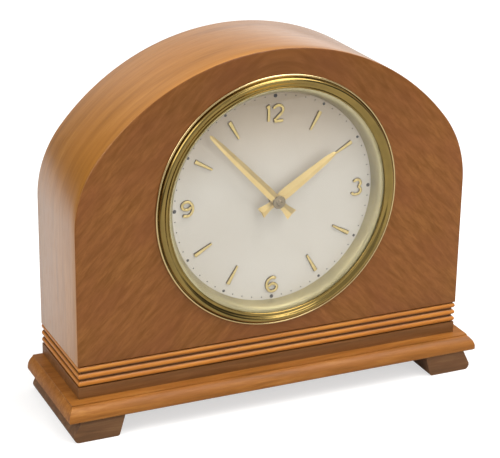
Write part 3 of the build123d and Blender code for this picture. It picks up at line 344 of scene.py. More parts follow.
def hour_markers():
    """Eight tapered batons: upright sides, a bevel and a flat top, wider away from the middle."""
    bevel = 0.15
    ways = np.array([BATON_START, BATON_START + bevel, BATON_END - bevel, BATON_END])
    shrink = np.array([0.7, 1.0, 1.0, 0.7])
    half = 0.55 * (1 + (ways - BATON_START) / (BATON_END - BATON_START)) * shrink
    across = np.array([-1.0, -1.0, -0.62, 0.62, 1.0, 1.0])
    rise = np.array([0.0, 0.55, 0.8, 0.8, 0.55, 0.0])
    marks = []
    for hour in (1, 2, 4, 5, 7, 8, 10, 11):
        sections = np.stack([half[:, None] * across, DIAL_FRONT - rise + 0 * half[:, None],
                             ways[:, None] + 0 * across], -1)
        marks.append(flat_bar(*bearings(30 * hour), sections))
    return joined(marks)


def ridged_hand(length, tail, half_width, back, angle):
    """A hand: across it a flat back, two thin edges and a ridge that falls as the square of the
    way out. Its half breadth runs straight between stations, and its tail is notched in the
    middle."""
    edge, notch, notch_run = 0.14, 0.9, 3.0
    stations = np.array([-tail, -tail + 0.4, -5.0, -2.6, 0.0, 3.2, 7.0, 0.55 * length,
                         0.85 * length, length - 0.5, length])
    breadth = np.array([3.0, 2.95, 1.9, 1.9, 2.0, half_width * 0.94, half_width,
                        half_width * 0.82, half_width * 0.6, half_width * 0.34, 0.12])
    ways = np.concatenate([np.linspace(-tail, 8, 36), np.linspace(8, length, 40)[1:]])
    half = np.interp(ways, stations, breadth)
    across = np.array([-1.0, 0.0, 1.0, 1.0, 0.0, -1.0])
    ridge = 1.0 - 0.5 * np.clip(ways / length, 0, 1) ** 2
    flat = 0 * ways
    depth = np.stack([flat, flat, flat, flat + edge, ridge, flat + edge], -1)
    pull = notch * np.clip(1 - (ways + tail) / notch_run, 0, 1)[:, None] * (1 - np.abs(across))
    sections = np.stack([half[:, None] * across, back - depth, ways[:, None] + pull], -1)
    return flat_bar(*bearings(angle), sections)


def hour_pointer():
    """The broad short hand, just before the two."""
    return ridged_hand(length=36.2, tail=9.7, half_width=2.9, back=-20.4, angle=56.4)


def minute_pointer():
    """The narrow long hand, between the ten and the eleven."""
    return ridged_hand(length=50.5, tail=10.3, half_width=2.3, back=-22.4, angle=316.2)


def hand_fastening():
    """Round nut: a low flange, a dished face and a raised middle with a small centre mark."""
    face = -23.05
    rises = [(0, 1.35), (0.4, 1.35), (0.5, 1.5), (1.15, 1.55), (1.5, 1.25), (1.7, 0.85),
             (2.4, 0.95), (2.95, 0.8), (3.2, 0.45), (3.2, 0), (0, 0)]
    return turned_solid([(radius, face - rise) for radius, rise in rises], DIAL_AXIS, 40)


def printed_spots(angles, sizes, thickness, sides):
    """Flat round spots of ink on the dot circle, each a fan of rings drawn in to its middle."""
    turn = np.linspace(0, 2 * math.pi, sides, endpoint=False)
    spots = []
    for angle, size in zip(angles, sizes):
        at = DOT_CIRCLE * np.array(bearings(angle)[1])
        rings = [(0.0, thickness), (size, thickness), (size, 0.0), (0.0, 0.0)]
        rows = [np.stack([at[0] + r * np.cos(turn), 0 * turn + DIAL_FRONT - d,
                          DIAL_HEIGHT + at[1] + r * np.sin(turn)], -1) for r, d in rings]
        spots.append(shell(np.stack(rows), False, True))
    return joined(spots)


# Fastenings: nuts on the pillars, screws of the straps, cock, hinges, catch and back board

def hexagon_nuts(places, seat, out):
    """Six-sided nuts with a chamfered face, each on the end of its thread. Out is the way that
    they stand from their seat."""
    rows = [(0, 2.1), (1.1, 2.1), (1.1, 1.5), (2.1, 1.5), (2.6, 1.2), (2.6, 0), (0, 0)]
    profile = [(radius, seat + out * height) for radius, height in rows]
    return joined([turned_solid(profile, place, 6) for place in places])


def slotted_heads(places, radius, height, seat, out):
    """Screw heads: a low dome over the radius, and the slot's flat floor wherever a point lies
    within the slot's half breadth of the slot's line. Each slot stands at its own angle."""
    slot_half, floor = 0.17 * radius, 0.35 * height
    share = np.concatenate([[0.0], np.linspace(0.1, 0.95, 9), [1.0, 1.0, 0.0]])
    dome = height * (0.55 + 0.45 * np.sqrt(1 - share ** 2))
    dome[-2:] = 0.0
    turn = np.linspace(0, 2 * math.pi, 32, endpoint=False)[:, None]
    heads = []
    for number, place in enumerate(places):
        lean = 0.7 + 1.3 * number
        off = np.abs(radius * share * np.sin(turn - lean))
        rise = np.where(off < slot_half, np.minimum(dome, floor), dome)
        x = place[0] + radius * share * np.cos(turn)
        z = place[1] + radius * share * np.sin(turn)
        heads.append(shell(np.stack([x, seat + out * rise, z], -1), True, False))
    return joined(heads)


def fastenings(brass):
    """Each group of like fastenings as one piece on the body that it holds to."""
    plate = [(x, z) for x in (-33.0, 33.0) for z in (52.8, 134.8)]
    straps = [(x, z) for x in (-34.0, 34.0) for z in (69.8, 123.8)]
    panel = [(-60.4, 123.8), (60.4, 123.8), (-56.3, 69.8), (56.3, 69.8)]
    case_leaves, door_leaves = ([(x, z) for z in (65.6, 74.4, 99.6, 108.4)] for x in (57.2, 47.2))
    board = [(-88, 44), (88, 44), (-88, 96), (88, 96), (-62, 142), (62, 142), (0, 162)]
    plate_rear, plate_front, strap_front, strap_rear = 12.2, -9.0, -10.2, -15.8
    cock_rear, leaf_rear, catch_front, board_rear = 19.6, 29.4, 24.4, 28.6
    nuts = [hexagon_nuts(plate, plate_rear, 1), hexagon_nuts(plate, plate_front, -1)]
    piece("plate_nuts", joined(nuts), "case", brass["steel"])
    holding = [slotted_heads(straps, 1.9, 0.9, strap_front, -1),
               slotted_heads(panel, 2.2, 1.0, strap_rear, 1)]
    piece("strap_screws", joined(holding), "case", brass["steel"])
    cock = slotted_heads([(-22.79, 135.11)], 1.9, 1.0, cock_rear, 1)
    piece("cock_screw", cock, "case", brass["spring"])
    on_case = slotted_heads(case_leaves, 1.4, 0.5, leaf_rear, 1)
    piece("hinge_case_screws", on_case, "case", brass["hinge"])
    on_door = slotted_heads(door_leaves, 1.4, 0.5, leaf_rear, 1)
    piece("hinge_door_screws", on_door, "door", brass["hinge"])
    catch = slotted_heads([(-58.0, 80.4)], 1.5, 0.7, catch_front, -1)
    piece("catch_screws", catch, "case", brass["steel"])
    back = slotted_heads(board, 1.9, 0.7, board_rear, 1)
    piece("board_screws", back, "case", brass["hinge"])


# Finishes

def linear(code):
    """A colour written as sRGB hex, as linear red, green, blue and opacity."""
    parts = [int(code[i:i + 2], 16) / 255 for i in (1, 3, 5)]
    return [p / 12.92 if p <= 0.04045 else ((p + 0.055) / 1.055) ** 2.4 for p in parts] + [1.0]


def add(tree, kind, given=(), stops=(), **settings):
    """Adds one node. Settings go on the node. What is given goes to its inputs, by name or number
    or, in a list, in their order, as values or as links from other nodes' outputs. Stops are the
    places and sRGB hex colours of a colour ramp."""
    made = tree.nodes.new("ShaderNode" + kind)
    for name, value in settings.items():
        setattr(made, name, value)
    for name, value in given.items() if isinstance(given, dict) else enumerate(given):
        if isinstance(value, bpy.types.NodeSocket):
            tree.links.new(value, made.inputs[name])
        else:
            made.inputs[name].default_value = value
    if stops:
        elements = made.color_ramp.elements
        for _ in stops[2:]:
            elements.new(0.5)
        for element, (at, code) in zip(elements, stops):
            element.position, element.color = at, linear(code)
    return made


def blank(name):
    """A new material without nodes, and its tree."""
    made = bpy.data.materials.new(name)
    made.use_nodes = True
    made.node_tree.nodes.clear()
    return made, made.node_tree


def shade(tree, given):
    """Closes a tree with one Principled shader and the output."""
    shader = add(tree, "BsdfPrincipled", given)
    add(tree, "OutputMaterial", {"Surface": shader.outputs[0]})


def pattern(tree, place, sizes, turn=(0.0, 0.0, 0.0), **given):
    """A soft pattern whose cells have the given sizes, in millimetres along axes turned by
    degrees."""
    cells = add(tree, "Mapping", {"Vector": place, "Rotation": [math.radians(t) for t in turn],
                                  "Scale": [size * MM for size in sizes]}, vector_type="TEXTURE")
    return add(tree, "TexNoise", {"Vector": cells.outputs[0], "Scale": 1.0, **given}).outputs[0]


def laid_over(tree, colour, layers):
    """A colour with others laid over it in turn, each given by its share and its sRGB hex."""
    for share, code in layers:
        both = add(tree, "Mix", {0: share, 6: colour, 7: linear(code)}, data_type="RGBA")
        colour = both.outputs[2]
    return colour


def along_the_bend(tree, place):
    """Coordinates that follow the wrap: the way round the arch, then the depth."""
    centre, radius = 60, 105
    split = add(tree, "SeparateXYZ", [place]).outputs
    level = add(tree, "Math", [split[2], -centre * MM], operation="ADD").outputs[0]
    turn = add(tree, "Math", [split[0], level], operation="ARCTAN2").outputs[0]
    way = add(tree, "Math", [turn, radius * MM], operation="MULTIPLY").outputs[0]
    return add(tree, "CombineXYZ", [way, split[1], 0.0]).outputs[0]


def arching_grain(tree, place):
    """Coordinates for crown-cut veneer, whose grain rises to the middle on both sides and rounds
    over it: the distance across is measured by a hyperbola, flat near the middle."""
    flat = 20
    split = add(tree, "SeparateXYZ", [place]).outputs
    square = add(tree, "Math", [split[0], split[0]], operation="MULTIPLY").outputs[0]
    eased = add(tree, "Math", [square, (flat * MM) ** 2], operation="ADD").outputs[0]
    across = add(tree, "Math", [eased], operation="SQRT").outputs[0]
    return add(tree, "CombineXYZ", [across, split[1], split[2]]).outputs[0]


def stain_in_grooves(tree, place):
    """How much dark stain has gathered: full in the groove between two reeds, none on their
    crowns."""
    level = add(tree, "SeparateXYZ", [place]).outputs[2]
    step = add(tree, "Math", [level, REED_BASE * MM], operation="SUBTRACT").outputs[0]
    gap = add(tree, "Math", [step, REED_PITCH / 2 * MM], operation="PINGPONG").outputs[0]
    return add(tree, "MapRange", [gap, 0.35 * MM, 1.0 * MM, 0.85, 0.0]).outputs[0]


def polished_wood(name, tones, streak, pores, drift, turn=(0, 0, 0), laid=None,
                  rough=(0.30, 0.42), coat=0.0, coat_rough=0.12, pore_share=0.3, shine=0.3,
                  stain=None, painted_top_shade=None):
    """Cut veneer or solid timber: soft streaks from dark to light wood, open pores along them, a
    slow drift of tint and a lacquer film. Streak and pores are each a length and a breadth in
    millimetres, drawn a few times coarser than real ones so that they show. Painted top shade gives
    two heights and how far the wood is painted darker at each, as shade on its top."""
    made, tree = blank(name)
    place = add(tree, "TexCoord").outputs["Object"]
    at = laid(tree, place) if laid else place
    streaks = pattern(tree, at, (streak[0], streak[1], streak[1]), turn, Detail=4.0,
                      Roughness=0.55, Distortion=0.5)
    lines = pattern(tree, at, (pores[0], pores[1], pores[1]), turn, Detail=2.0, Roughness=0.6)
    slow = pattern(tree, at, (38, 22, 22), turn, Detail=2.0)
    dark, middle, light = tones
    wood = add(tree, "ValToRGB", [streaks], [(0.3, dark), (0.5, middle), (0.7, light)]).outputs[0]
    pore = add(tree, "MapRange", [lines, 0.36, 0.52, 1.0, 0.0]).outputs[0]
    layers = [(add(tree, "Math", [pore, pore_share], operation="MULTIPLY").outputs[0], dark),
              (add(tree, "MapRange", [slow, 0.4, 0.65, 0.0, 0.45]).outputs[0], drift)]
    # Painted shade: the colour darkens towards the top, between two heights
    if painted_top_shade:
        level = add(tree, "SeparateXYZ", [place]).outputs[2]
        layers.append((add(tree, "MapRange", [level, *painted_top_shade]).outputs[0], "#5E3512"))
    if stain:
        layers.append((stain(tree, place), "#3C220E"))
    height = add(tree, "Bump", {"Strength": 0.2, "Distance": 0.04 * MM, "Height": lines})
    gloss = add(tree, "MapRange", [pore, 0.0, 1.0, *rough]).outputs[0]
    shade(tree, {"Base Color": laid_over(tree, wood, layers), "Roughness": gloss, "IOR": 1.5,
                 "Specular IOR Level": shine, "Coat Weight": coat, "Coat Roughness": coat_rough,
                 "Coat IOR": 1.5, "Normal": height.outputs[0]})
    return made


def metal(name, code, rough, marks, worn, depth=0.004):
    """Metal with a faint drift of tone and fine working marks. Marks gives their size in three
    directions, coarser than real ones so that they show. Worn is the colour where the surface has
    dulled, and depth is how deep the marks are."""
    made, tree = blank(name)
    place = add(tree, "TexCoord").outputs["Object"]
    cloud = pattern(tree, place, (9, 9, 9), Detail=3.0)
    lines = pattern(tree, place, marks, Detail=2.0)
    tone = add(tree, "MapRange", [cloud, 0.4, 0.75, 0.0, 0.6]).outputs[0]
    height = add(tree, "Bump", {"Strength": 0.3, "Distance": depth * MM, "Height": lines})
    gloss = add(tree, "MapRange", [lines, 0.3, 0.7, *rough]).outputs[0]
    shade(tree, {"Base Color": laid_over(tree, linear(code), [(tone, worn)]), "Metallic": 1.0,
                 "Roughness": gloss, "Normal": height.outputs[0]})
    return made


def spun_metal(name, code, worn, rough, ring, bead=None):
    """Metal turned on a lathe: its marks are rings about the dial's axis, coarser than real ones
    so that they show. Outside the groove the bead has its own colour, rubbed bright by the
    cloth."""
    made, tree = blank(name)
    place = add(tree, "TexCoord").outputs["Object"]
    split = add(tree, "SeparateXYZ", [place]).outputs
    level = add(tree, "Math", [split[2], -DIAL_HEIGHT * MM], operation="ADD").outputs[0]
    flat = add(tree, "CombineXYZ", [split[0], level, 0.0]).outputs[0]
    radius = add(tree, "VectorMath", [flat], operation="LENGTH").outputs["Value"]
    way = add(tree, "CombineXYZ", [radius, split[1], 0.0]).outputs[0]
    rings = pattern(tree, way, (ring, ring, ring), Detail=2.0)
    cloud = pattern(tree, place, (14, 14, 14), Detail=3.0)
    layers = [(add(tree, "MapRange", [cloud, 0.4, 0.7, 0.0, 0.7]).outputs[0], worn)]
    if bead:
        outside = add(tree, "MapRange", [radius, 60.45 * MM, 60.6 * MM, 0.0, 1.0]).outputs[0]
        layers.append((outside, bead))
    height = add(tree, "Bump", {"Strength": 0.2, "Distance": 0.003 * MM, "Height": rings})
    gloss = add(tree, "MapRange", [rings, 0.3, 0.7, *rough]).outputs[0]
    shade(tree, {"Base Color": laid_over(tree, linear(code), layers), "Metallic": 1.0,
                 "Roughness": gloss, "Normal": height.outputs[0]})
    return made


def figure_gilding():
    """Gilt of the raised figures and batons, stamped brass: bright matt tops, and painted shade
    that turns the sides dark brown beside the dial."""
    made, tree = blank("brass_figure_gilt_matt")
    place = add(tree, "TexCoord").outputs["Object"]
    depth = add(tree, "SeparateXYZ", [place]).outputs[1]
    # Painted shade: the sides turn dark brown near the dial, below a set depth
    painted_wall_shade = add(tree, "MapRange", [depth, -17.6 * MM, -17.38 * MM, 0.0, 1.0]).outputs[0]
    cloud = pattern(tree, place, (3, 3, 3), Detail=2.0)
    gold = add(tree, "ValToRGB", [cloud], [(0.35, "#B8A262"), (0.65, "#C8B274")]).outputs[0]
    gloss = add(tree, "MapRange", [cloud, 0.3, 0.7, 0.32, 0.42]).outputs[0]
    shade(tree, {"Base Color": laid_over(tree, gold, [(painted_wall_shade, "#5E4C24")]), "Metallic": 1.0,
                 "Roughness": gloss})
    return made


def dial_silvering():
    """Dial plate, brass with a matt silver-cream lacquer: a fine even grain, barely metallic, with
    a slow drift of tone, and warm grey painted shade that darkens it towards the top."""
    made, tree = blank("silvered_brass_matt_lacquered")
    place = add(tree, "TexCoord").outputs["Object"]
    cloud = pattern(tree, place, (45, 45, 45), Detail=2.0)
    grain = pattern(tree, place, (0.3, 0.3, 0.3), Detail=2.0)
    tone = add(tree, "MapRange", [cloud, 0.35, 0.65, 0.0, 1.0]).outputs[0]
    level = add(tree, "SeparateXYZ", [place]).outputs[2]
    # Painted shade: the colour darkens towards the top, standing in for the bezel's shade there
    painted_bezel_shade = add(tree, "MapRange", [level, 105 * MM, 152 * MM],
               interpolation_type="SMOOTHSTEP").outputs[0]
    colour = laid_over(tree, linear("#CFC9BC"), [(tone, "#CAC3B5"), (painted_bezel_shade, "#B4A38B")])
    gloss = add(tree, "MapRange", [grain, 0.3, 0.7, 0.4, 0.5]).outputs[0]
    shade(tree, {"Base Color": colour, "Metallic": 0.2, "Roughness": gloss})
    return made


def clear_glass():
    """Domed window glass: clear, with a sharp sheen, and open to the light that falls through it
    on the dial."""
    made, tree = blank("window_glass_slumped")
    solid = add(tree, "BsdfPrincipled", {"Base Color": linear("#FFFFFF"), "Roughness": 0.0,
                                         "Transmission Weight": 1.0, "IOR": 1.5}).outputs[0]
    open_way = add(tree, "BsdfTransparent").outputs[0]
    path = add(tree, "LightPath").outputs
    lit = add(tree, "MixShader", [path["Is Diffuse Ray"], solid, open_way]).outputs[0]
    both = add(tree, "MixShader", [path["Is Shadow Ray"], lit, open_way]).outputs[0]
    add(tree, "OutputMaterial", {"Surface": both})
    return made


def dial_ink():
    """Black enamel ink, pad printed: matt, and a little uneven in tone."""
    made, tree = blank("enamel_ink_printed")
    place = add(tree, "TexCoord").outputs["Object"]
    cloud = pattern(tree, place, (0.4, 0.4, 0.4), Detail=2.0)
    colour = add(tree, "ValToRGB", [cloud], [(0.3, "#2B2622"), (0.7, "#3A332D")]).outputs[0]
    shade(tree, {"Base Color": colour, "Roughness": 0.6})
    return made


def dress(finish, *nodes):
    """Gives CAD nodes a finish."""
    for node in nodes:
        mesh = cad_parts[node].data
        mesh.materials.clear()
        mesh.materials.append(finish)


def wooden_finishes():
    """The timbers, each by the name of the part that it is for."""
    honey = ("#B46E28", "#C87E2E", "#D48E3A")
    return {
        # Crown-cut walnut veneer: short strokes that fall away from the middle, a mottled warm
        # drift, a satin lacquer, and painted shade that darkens the top
        "front": polished_wood("walnut_veneer_crown_cut_lacquered",
                               ("#794919", "#8A5727", "#996231"), (12, 2.3), (3.8, 0.75),
                               "#824A28", (0, 48, 0), arching_grain, shine=0.22, pore_share=0.42,
                               painted_top_shade=(118 * MM, 168 * MM, 0.0, 0.42)),
        # The same veneer laid plain along the bend and polished to a soft gloss
        "wrap": polished_wood("walnut_veneer_bent_lacquered", ("#9B6322", "#AE722B", "#BC8039"),
                              (60, 4), (9, 0.7), "#B47633", laid=along_the_bend,
                              rough=(0.28, 0.36), coat=0.8, coat_rough=0.2, pore_share=0.25),
        # Honey-stained beech run through a moulding cutter, with stain gathered in the grooves;
        # the grain of the side boards runs front to back
        "reeds": polished_wood("beech_reeded_honey_stained", honey, (40, 2), (6, 0.5), "#B46C2A",
                               stain=stain_in_grooves),
        "side_reeds": polished_wood("beech_side_reeds_honey_stained", honey, (40, 2), (6, 0.5),
                                    "#9C5C24", (0, 0, 90), stain=stain_in_grooves),
        # The same beech planed and waxed: broad soft streaks and little shine
        "plinth": polished_wood("beech_plinth_honey_stained", ("#804F1D", "#9A6026", "#AE7436"),
                                (30, 2.6), (6, 0.8), "#8C5626", rough=(0.42, 0.52), shine=0.2),
        # Edge of the base board: a dark brown stain that hides most of the figure
        "band": polished_wood("beech_band_brown_stained", ("#68441F", "#784E28", "#885C34"),
                              (40, 2), (6, 0.5), "#764C2C", rough=(0.4, 0.5), shine=0.22),
        # Feet stained dark and left dull, with paler streaks where the stain took less
        "feet": polished_wood("beech_feet_dark_stained", ("#5E422A", "#704E32", "#826040"),
                              (30, 3), (6, 0.9), "#704A2E", rough=(0.45, 0.55), shine=0.2,
                              pore_share=0.2),
        # Sawn pine of the glue blocks: pale, rough and without shine
        "block": polished_wood("pine_block_sawn", ("#B98A55", "#D2A873", "#E0BE8C"), (50, 2.4),
                               (8, 0.6), "#C89A62", (0, 90, 0), rough=(0.6, 0.75)),
        # Rail behind the reeded boards: long quiet streaks under a brown stain
        "rail": polished_wood("beech_rail_brown_stained", ("#70441C", "#855428", "#986434"),
                              (60, 3), (9, 0.7), "#7C4E26", shine=0.25),
        # Plywood of the back and its door: upright grain under a thin sealing coat
        "back": polished_wood("birch_ply_brown_stained", ("#75502B", "#895F36", "#9A6C3E"),
                              (70, 3.4), (9, 0.6), "#80582F", (0, 90, 0), shine=0.35, coat=0.2),
    }


def metal_finishes():
    """The metals, each by the name of the part that it is for."""
    return {
        # Spun and lacquered brass of the bezel, gone a little olive, its bead rubbed bright
        "bezel": spun_metal("brass_spun_lacquered", "#9A824A", "#7E6C40", (0.12, 0.19), 0.22,
                            bead="#CDB684"),
        # Sight ring, turned and pale gilt: a soft sheen without clear reflections
        "ring": spun_metal("brass_turned_pale_gilt", "#B2A67A", "#9D9269", (0.42, 0.52), 0.3),
        # Gilt brass of the hands, stamped and faceted: a bright and a dim side to the ridge
        "gilt": metal("brass_stamped_gilt", "#D2B87A", (0.34, 0.42), (2.5, 2.5, 2.5), "#C4A866",
                      depth=0.0005),
        "figure": figure_gilding(),
        # Turned nickel of the nut on the hands: brownish grey with a small highlight
        "nut": metal("nickel_turned_polished", "#807258", (0.26, 0.38), (0.8, 0.8, 0.8),
                     "#685C46", depth=0.0005),
        # Rolled brass plate of the movement, brushed along its height
        "plate": metal("brass_rolled_brushed", "#C9A45C", (0.26, 0.42), (0.25, 3.0, 9.0),
                       "#B8924C"),
        # Cut wheels, key and knob: a little brighter and shinier than the plates
        "wheel": metal("brass_machined_polished", "#D4AE62", (0.16, 0.28), (1.2, 1.2, 1.2),
                       "#C49C50"),
        # Ground steel of arbors, pillars and screws: clear grey highlights
        "steel": metal("steel_ground_polished", "#B4B4B2", (0.16, 0.28), (0.6, 4.0, 0.6),
                       "#A2A2A2"),
        # Springs and the cock's screw, heated until they turned blue
        "spring": metal("steel_spring_blued", "#4A5672", (0.22, 0.34), (1.5, 1.5, 1.5),
                        "#5A5F70"),
        # Zinc plate of the straps and the catch: dull and cloudy
        "bracket": metal("steel_strap_zinc_plated", "#A9A7A0", (0.34, 0.5), (2.5, 2.5, 2.5),
                         "#918F88"),
        # Pressed brass of the hinges and the door's knob, browned by handling
        "hinge": metal("brass_hinge_pressed", "#B4924E", (0.3, 0.45), (1.5, 1.5, 1.5),
                       "#93753A"),
        # Gilt balance, the brightest piece of the movement
        "balance": metal("brass_balance_gilt", "#D9B76E", (0.16, 0.26), (1.0, 1.0, 1.0),
                         "#C8A45A"),
    }


def dress_the_clock(wood, brass):
    """Gives the CAD nodes the finish of their real material, all but the dial and the glass."""
    dress(wood["reeds"], "reed_front")
    dress(wood["side_reeds"], "reed_left", "reed_right")
    dress(wood["plinth"], "plinth")
    dress(wood["band"], "base_board")
    dress(wood["feet"], "left_foot", "right_foot")
    dress(wood["block"], "corner_blocks")
    dress(wood["rail"], "rear_rail")
    dress(wood["back"], "back_board", "rear_door")
    dress(wood["front"], "front_panel")
    dress(wood["wrap"], "case_wrap")
    dress(brass["bezel"], "bezel")
    dress(brass["ring"], "sight_ring")
    dress(brass["gilt"], "hour_hand", "minute_hand", "hour_batons")
    dress(brass["nut"], "hand_nut")
    dress(brass["plate"], "front_plate", "back_plate", "balance_cock", "barrel", "barrel_cover")
    dress(brass["wheel"], "intermediate_wheel", "centre_wheel", "third_wheel", "fourth_wheel",
          "escape_wheel", "minute_wheel", "hour_wheel", "cannon_pinion", "set_knob",
          "winding_key")
    dress(brass["balance"], "balance_wheel")
    dress(brass["steel"], "barrel_arbor", "intermediate_arbor", "centre_pinion", "centre_arbor",
          "third_arbor", "fourth_arbor", "escape_arbor", "pallet_arbor", "pallet_fork",
          "balance_staff", "ratchet_wheel", "click", "click_screw", "pillars_and_post",
          "regulator")
    dress(brass["spring"], "mainspring", "hairspring", "click_spring")
    dress(brass["bracket"], "movement_brackets", "door_catch")
    dress(brass["hinge"], "hinge_case_halves", "hinge_door_halves", "door_knob")


def case_pieces(wood):
    """The wrap and the front, in the place of their CAD nodes."""
    wrap = piece("case_wrap_veneered", bent_wrap(), "case", wood["wrap"])
    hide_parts("case_wrap")
    form, side = veneered_front()
    front = piece("front_panel_veneered", form, "case", wood["front"],
                  rim=(wood["wrap"], side))
    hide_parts("front_panel")


def dial_pieces(brass):
    """The bezel, glass, hands and markers in the place of their CAD nodes, and the numerals and
    printed dots, which the CAD model leaves out."""
    bezel = piece("bezel_spun", turned_ring(bezel_outline(), 192), "case", brass["bezel"])
    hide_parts("bezel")
    ring = piece("sight_ring_turned", turned_ring(sight_ring_outline(), 160), "case",
                 brass["ring"])
    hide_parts("sight_ring")
    glass = piece("glass_domed", domed_glass(), "case", clear_glass())
    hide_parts("glass")
    hour_hand = piece("hour_hand_stamped", hour_pointer(), "hour_work", brass["gilt"],
                      crease=22)
    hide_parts("hour_hand")
    minute_hand = piece("minute_hand_stamped", minute_pointer(), "hand_drive", brass["gilt"],
                        crease=22)
    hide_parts("minute_hand")
    nut = piece("hand_nut_turned", hand_fastening(), "hand_drive", brass["nut"])
    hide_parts("hand_nut")
    batons = piece("hour_batons_stamped", hour_markers(), "case", brass["figure"],
                   crease=15)
    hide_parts("hour_batons")
    ink = dial_ink()
    dress(dial_silvering(), "dial")
    piece("dial_numerals", numerals(), "case", brass["figure"])
    hours = np.arange(0, 360, 30)
    sizes = np.where(hours % 90 == 0, 0.95, 0.7)
    piece("hour_dots", printed_spots(hours, sizes, 0.05, 14), "case", ink)
    minutes = np.array([angle for angle in range(0, 360, 6) if angle % 30])
    sizes = np.full(len(minutes), 0.32)
    piece("minute_dots", printed_spots(minutes, sizes, 0.04, 8), "case", ink)


# Light, floor and camera

def studio_world():
    """White all round: at full strength to the camera, weaker low down as light on the clock, and
    dimmed by soft-edged cards where the clock mirrors it."""
    world = bpy.data.worlds.new("white_surround")
    bpy.context.scene.world = world
    world.use_nodes = True
    tree = world.node_tree
    tree.nodes.clear()
    path = add(tree, "LightPath").outputs
    camera = path["Is Camera Ray"]
    shows = add(tree, "Math", [camera, path["Is Glossy Ray"]], operation="MAXIMUM").outputs[0]
    shows = add(tree, "Math", [shows, path["Is Transmission Ray"]],
                operation="MAXIMUM").outputs[0]
    way = add(tree, "TexCoord").outputs["Generated"]
    # Each card's direction, how near to it the edge starts and ends, and the light it leaves
    cards = [((-0.52, 0.85, 0.06), 0.8, 0.98, 0.04), ((0.0, 0.75, 0.66), 0.7, 0.95, 0.4),
             ((0, -1, 0), 0.2, 0.8, 0.5), ((0.8, -0.6, 0.04), 0.84, 0.96, 0.08),
             ((0.35, 0.85, 0.4), 0.88, 0.99, 0.7)]
    dim = 1.0
    for towards, start, end, left in cards:
        near = add(tree, "VectorMath", [way, towards], operation="DOT_PRODUCT").outputs["Value"]
        cut = add(tree, "MapRange", [near, start, end, 1.0, left],
                  interpolation_type="SMOOTHSTEP").outputs[0]
        dim = add(tree, "Math", [dim, cut], operation="MULTIPLY").outputs[0]
    mirrored = add(tree, "Mix", {0: camera, 2: dim, 3: 1.0}).outputs[0]
    height = add(tree, "SeparateXYZ", [way]).outputs[2]
    overhead = add(tree, "MapRange", [height, 0.0, 0.8, 0.12, 0.95]).outputs[0]
    strength = add(tree, "Mix", {0: shows, 2: overhead, 3: mirrored}).outputs[0]
    back = add(tree, "Background", [linear("#FFFFFF"), strength])
    add(tree, "OutputWorld", {"Surface": back.outputs[0]})


def paper_floor():
    """White paper, pale and matt, with a dark cloth to its left that shows only in reflections;
    what the camera sees is lifted to white, with the shadow kept."""
    half, cloth_edge, cloth = 3000.0, -250, -450
    points = np.stack(np.meshgrid([-half, half], [-half, half], [0.0], indexing="ij"), -1)
    made, tree = blank("paper_sweep_white")
    path = add(tree, "LightPath").outputs
    seen = add(tree, "Math", [path["Is Camera Ray"], path["Is Transmission Ray"]],
               operation="MAXIMUM").outputs[0]
    place = add(tree, "TexCoord").outputs["Object"]
    across = add(tree, "SeparateXYZ", [place]).outputs[0]
    far = add(tree, "MapRange", [across, cloth_edge * MM, cloth * MM, 0.0, 1.0]).outputs[0]
    raised = add(tree, "MapRange", [far, 0.0, 1.0, 0.6, 1.1]).outputs[0]
    lift = add(tree, "Math", [seen, raised], operation="MULTIPLY").outputs[0]
    mirrored = add(tree, "Math", [path["Is Glossy Ray"], 0.08], operation="MULTIPLY").outputs[0]
    lift = add(tree, "Math", [lift, mirrored], operation="ADD").outputs[0]
    fibre = pattern(tree, place, (4, 4, 4))
    paper = add(tree, "ValToRGB", [fibre], [(0.3, "#B7B6B4"), (0.7, "#BBBAB8")]).outputs[0]
    glow = add(tree, "Emission", [linear("#FFFFFF"), lift]).outputs[0]
    matt = add(tree, "BsdfDiffuse", [laid_over(tree, paper, [(far, "#4A4540")])]).outputs[0]
    both = add(tree, "AddShader", [matt, glow]).outputs[0]
    add(tree, "OutputMaterial", {"Surface": both})
    mesh = bpy.data.meshes.new("floor")
    mesh.from_pydata((points.reshape(-1, 3) * MM).tolist(), [], [(0, 2, 3, 1)])
    mesh.materials.append(made)
    floor = bpy.data.objects.new("floor", mesh)
    bpy.context.scene.collection.objects.link(floor)


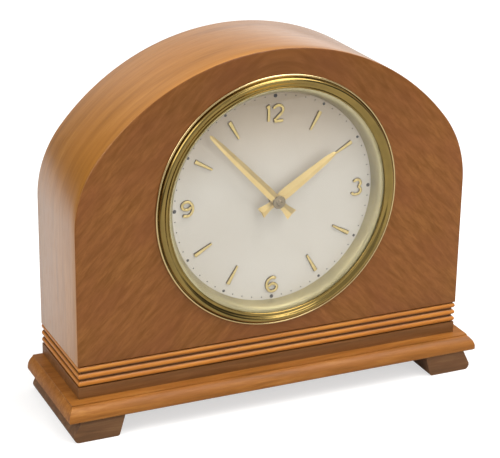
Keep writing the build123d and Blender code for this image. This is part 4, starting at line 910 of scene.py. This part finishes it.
def stand(thing, place, across, above, back):
    """Puts a lamp or the camera at a place, by its three axes."""
    matrix = np.eye(4)
    matrix[:3, 0], matrix[:3, 1], matrix[:3, 2] = across, above, back
    matrix[:3, 3] = np.array(place) * MM
    made = bpy.data.objects.new(thing.name, thing)
    bpy.context.scene.collection.objects.link(made)
    made.matrix_world = Matrix(matrix.tolist())
    return made


def softbox(name, place, aim, size, power):
    """A soft white lamp at a place, turned to face a point; its power is in watts."""
    lamp = bpy.data.lights.new(name, "AREA")
    lamp.shape = "RECTANGLE"
    lamp.size, lamp.size_y = size[0] * MM, size[1] * MM
    lamp.energy = power
    back = np.subtract(place, aim) / np.linalg.norm(np.subtract(place, aim))
    across = np.cross([0.0, 0.0, 1.0], back)
    across /= np.linalg.norm(across)
    stand(lamp, place, across, np.cross(back, across), back)


def photograph_camera():
    """The view of the photograph, fitted to points on the case and dial. Angles are in radians,
    and the lens and the width of its picture in millimetres."""
    yaw, pitch, roll = 0.428, -0.367, 0.016
    ahead = np.array([math.sin(yaw) * math.cos(pitch), math.cos(yaw) * math.cos(pitch),
                      math.sin(pitch)])
    right = np.array([math.cos(yaw), -math.sin(yaw), 0.0])
    up = np.cross(right, ahead)
    across = math.cos(roll) * right + math.sin(roll) * up
    above = -math.sin(roll) * right + math.cos(roll) * up
    view = bpy.data.cameras.new("photograph")
    view.lens, view.sensor_width, view.clip_start = 123.2, 36.0, 0.05
    bpy.context.scene.camera = stand(view, (-323.3, -700.1, 376.4), across, above, -ahead)


def studio():
    """The white surround and paper, a large soft lamp above, another to the left, a small one in
    front, and the camera."""
    studio_world()
    paper_floor()
    softbox("top_softbox", (520, -400, 1250), (0, 0, 100), (1000, 900), 16)
    softbox("left_softbox", (-1150, -300, 900), (0, 0, 90), (800, 800), 7)
    softbox("front_lamp", (300, -880, 500), (0, 0, 100), (360, 360), 1.4)
    photograph_camera()
    bpy.context.scene.view_settings.view_transform = "Standard"


wood = wooden_finishes()
brass = metal_finishes()
dress_the_clock(wood, brass)
case_pieces(wood)
dial_pieces(brass)
fastenings(brass)
studio()
